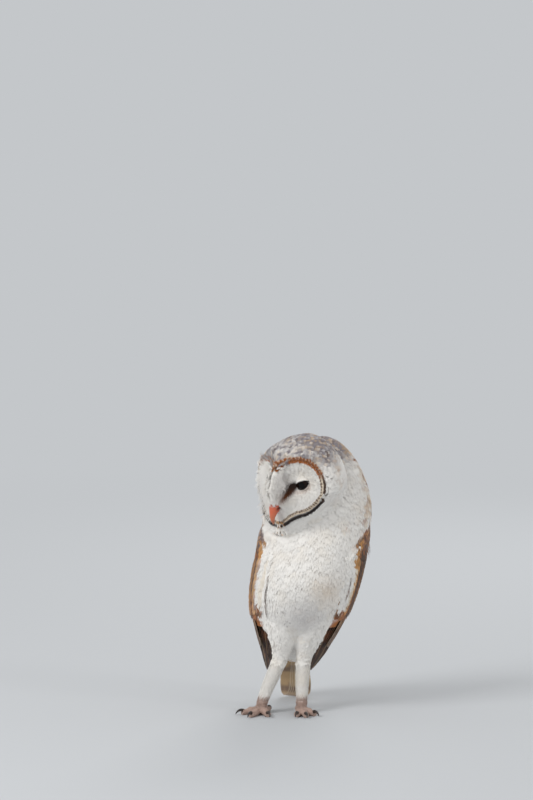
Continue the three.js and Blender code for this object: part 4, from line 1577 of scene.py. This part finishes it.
def vane(surface, start, finish, lead, trail, inset, tint, sign, strip, stations=32):
    """A stiff feather on a surface, from one (along, across) place to another.

    lead and trail are the widths of its front and back webs, inset gives its depth along it,
    tint its colours, and strip its place in the bake map.
    """
    t, q = np.meshgrid(np.linspace(0, 1, stations), WEB, indexing="ij")
    along = start[0] + (finish[0] - start[0]) * t
    middle = start[1] + (finish[1] - start[1]) * t ** 1.2
    depth = inset(along)
    span = surface(along, middle + 0.01, depth) - surface(along, middle - 0.01, depth)
    reach = np.linalg.norm(span, axis=-1) / 0.02
    rounding = np.sqrt(1 - np.clip((t - 0.84) / 0.161, 0, 1) ** 2)
    taper = (0.25 + 0.75 * smooth(t, 0, 0.22)) * rounding
    web = np.where(q < 0, lead, trail) * taper
    ragged = 1 - 0.07 * chance.random(along.shape) * (np.abs(q) == 1)
    across = middle + q * web * ragged / reach
    tilt = 0.45 * mm * (1 + q)
    shaft = 0.32 * mm * (np.abs(q) < 0.05) * (1 - 0.6 * t)
    top = surface(along, across, depth + tilt - shaft)
    bottom = surface(along, across, depth + tilt + 0.3 * mm)
    rows, columns = top.shape[:2]
    points = np.concatenate([top.reshape(-1, 3), bottom.reshape(-1, 3)])
    under = rows * columns
    grid = np.arange(under).reshape(rows, columns)
    faces = []
    for a, b, c, d in zip(grid[:-1, :-1].ravel(), grid[:-1, 1:].ravel(),
                          grid[1:, 1:].ravel(), grid[1:, :-1].ravel()):
        faces += [(a, b, c), (a, c, d), (a + under, c + under, b + under),
                  (a + under, d + under, c + under)]
    rim = np.concatenate([grid[0, :-1], grid[:-1, -1], grid[-1, :0:-1], grid[:0:-1, 0]])
    for a, b in zip(rim, np.roll(rim, -1)):
        faces += [(a, a + under, b + under), (a, b + under, b)]
    faces = np.array(faces)
    if sign > 0:
        faces = faces[:, ::-1]
    t, q = t.ravel(), q.ravel()
    paint = tint(t, q, points[:under])
    uv = np.stack([strip[0] + strip[1] * (0.5 + 0.48 * q), 0.02 + 0.96 * t], -1)
    both = [np.concatenate([values, values]) for values in (paint, uv, np.stack([q, t], -1))]
    edge = np.zeros(len(points), bool)
    edge[rim] = True
    edge[rim + under] = True
    return [points, faces, *both, edge]


def quill_paint(ground, tips, bars, bar_paint, edge_paint):
    """Barred quills: a ground colour that changes to the tip, dark bars and a thin pale edge."""
    def tint(t, q, points):
        fine = marbling(points, 1.6 * mm, 5)
        middling = marbling(points, 5 * mm, 6)
        paint = laid_over(ground, smooth(t + 0.08 * middling, 0.3, 0.72), tips)
        wave = np.cos(2 * math.pi * (bars * t + 0.12 * np.abs(q) + 0.05 * fine))
        paint = laid_over(paint, 0.75 * smooth(wave, 0.35, 0.75), bar_paint)
        paint = laid_over(paint, 0.35 * smooth(fine, 0.1, 0.8), ground)
        paint = laid_over(paint, 0.5 * smooth(np.abs(q), 0.8, 1.0), edge_paint)
        return laid_over(paint, 0.35 * smooth(t, 0.95, 0.99), DUSK)
    return tint


stiff_feather = feather_finish("stiff_feather", 0.08, 90, 0.12 * mm)
QUILLS = {
    # count, front and back web in mm, and where the quills start and end along and across the
    # wing: each is a value for the first quill and what is added to it for the last one
    "primary": (11, (7, 15), ((0.4, 0), (0.09, 0.2)), ((1.0, 0), (0.05, 0.6))),
    "secondary": (12, (9, 14), ((0.36, 0), (0.2, 0.73)), ((0.8, 0.19), (0.3, 0.65))),
    "under": (10, (9, 14), ((0.5, 0), (0.08, 0.82)), ((0.98, 0), (0.07, 0.87))),
    "covert": (15, (6, 9), ((0.34, 0), (0.05, 0.88)), ((0.585, 0.06), (0.05, 0.9))),
}
QUILL_PAINTS = {  # the quills of a kind take these in turn
    "primary": [
        quill_paint(RUFOUS * 0.9, BROWN * 0.72, 4.6, BLACK, edge) for edge in (BUFF, BROWN, BLACK)
    ],
    "secondary": [quill_paint(GOLD * 0.85, BROWN + 0.2 * VEIL, 4.2, BROWN * 0.7, BUFF * 0.8)],
    "under": [quill_paint(WHITE, DUSK, 4.4, VEIL, WHITE)],
    "covert": [quill_paint(GOLD * 0.85, RUFOUS * 0.7, 2.4, BROWN, BUFF)],
}


def layer(kind, share):
    """How deep in the wing's thickness a quill lies along its length."""
    def inset(along):
        if kind == "under":
            return wing_depth(along) - 0.9 * mm - 0.4 * mm * share
        if kind == "primary":
            base = 2.4 * mm * smooth(along, 0.62, 0.45)
            return 0.9 * mm + base + (wing_depth(along) - 2.2 * mm - base) * (1 - share) ** 1.2
        if kind == "secondary":
            return 0.7 * mm + 2.2 * mm * smooth(along, 0.62, 0.42) + 0.6 * mm * (1 - share)
        return 0.35 * mm + 2.0 * mm * smooth(along, 0.5, 0.36) + 0.5 * mm * (1 - share)
    return inset


total = sum(row[0] for row in QUILLS.values())
for side, sign in (("left", 1), ("right", -1)):
    surface = on_wing(sign)
    parts = []
    for kind, (count, webs, starts, ends) in QUILLS.items():
        for k in range(count):
            share = k / (count - 1)
            start = [first + more * share for first, more in starts]
            spread = share ** 1.1 if kind == "primary" else share
            finish = [first + more * spread for first, more in ends]
            tint = QUILL_PAINTS[kind][k % len(QUILL_PAINTS[kind])]
            parts.append(vane(
                surface, start, finish, webs[0] * mm, webs[1] * mm, layer(kind, share), tint, sign,
                (len(parts) / total, 1 / total), stations=20 if kind == "covert" else 32))
    planted(f"quills_{side}", parts, stiff_feather, "gold_plumage")


# ---- Tail feathers ----
# Twelve overlapping tail feathers behind the legs, buff with grey-brown bars.
# They fan slightly, the middle pair on top, and their tips lie just above the floor.
tail_cloud = points_of(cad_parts["tail"].data)
tail_top = end_of("tail", top=True)
tail_end = end_of("tail", top=False)
TAIL_COUNT = 12
tail_way = unit(tail_end - tail_top)
tail_out = unit(np.cross(np.array([1.0, 0, 0]), tail_way))
tail_out = tail_out * np.sign(tail_out[1])
tail_run = (tail_cloud - tail_top) @ tail_way
tail_end_run = tail_run.max()
tail_rows = np.linspace(0.12, 0.92, 6)
tail_half, tail_middle = [], []
for row in tail_rows:
    ring = tail_cloud[np.abs(tail_run - row * tail_end_run) < 0.12 * tail_end_run]
    tail_half.append(np.ptp(ring[:, 0]) / 2)
    tail_middle.append((ring.min(0) + ring.max(0)) / 2)
tail_middle = np.array(tail_middle)


def on_tail(along, across, inset):
    """The fanned tail: places from shares along and across it, and how far under its top."""
    centre = np.stack([np.interp(along, tail_rows, tail_middle[:, k]) for k in range(3)], -1)
    beyond = np.clip(along - tail_rows[-1], 0, None) * tail_end_run
    centre = centre + beyond[..., None] * tail_way + tail_out * (1.6 * mm - inset)[..., None]
    centre[..., 0] += (2 * across - 1) * np.interp(along, tail_rows, tail_half)
    return centre


tail_paint = quill_paint(BUFF * 0.85, BUFF * 0.8, 4.3, BROWN + 0.25 * VEIL, CREAM)
parts = []
for k in range(TAIL_COUNT):
    share = k / (TAIL_COUNT - 1)
    apart = abs(2 * share - 1)

    def under_middle(along, apart=apart):
        return 0.2 * mm + 2.6 * mm * apart + 0 * along

    webs = (5 * mm, 7 * mm) if share < 0.5 else (7 * mm, 5 * mm)
    start = (0.1, 0.5 + 0.22 * (2 * share - 1))
    finish = (0.985 - 0.03 * apart, 0.14 + 0.72 * share)
    parts.append(vane(on_tail, start, finish, *webs, under_middle, tail_paint, -1,
                      (k / TAIL_COUNT, 1 / TAIL_COUNT)))
planted("tail_feathers", parts, stiff_feather, "gold_plumage")
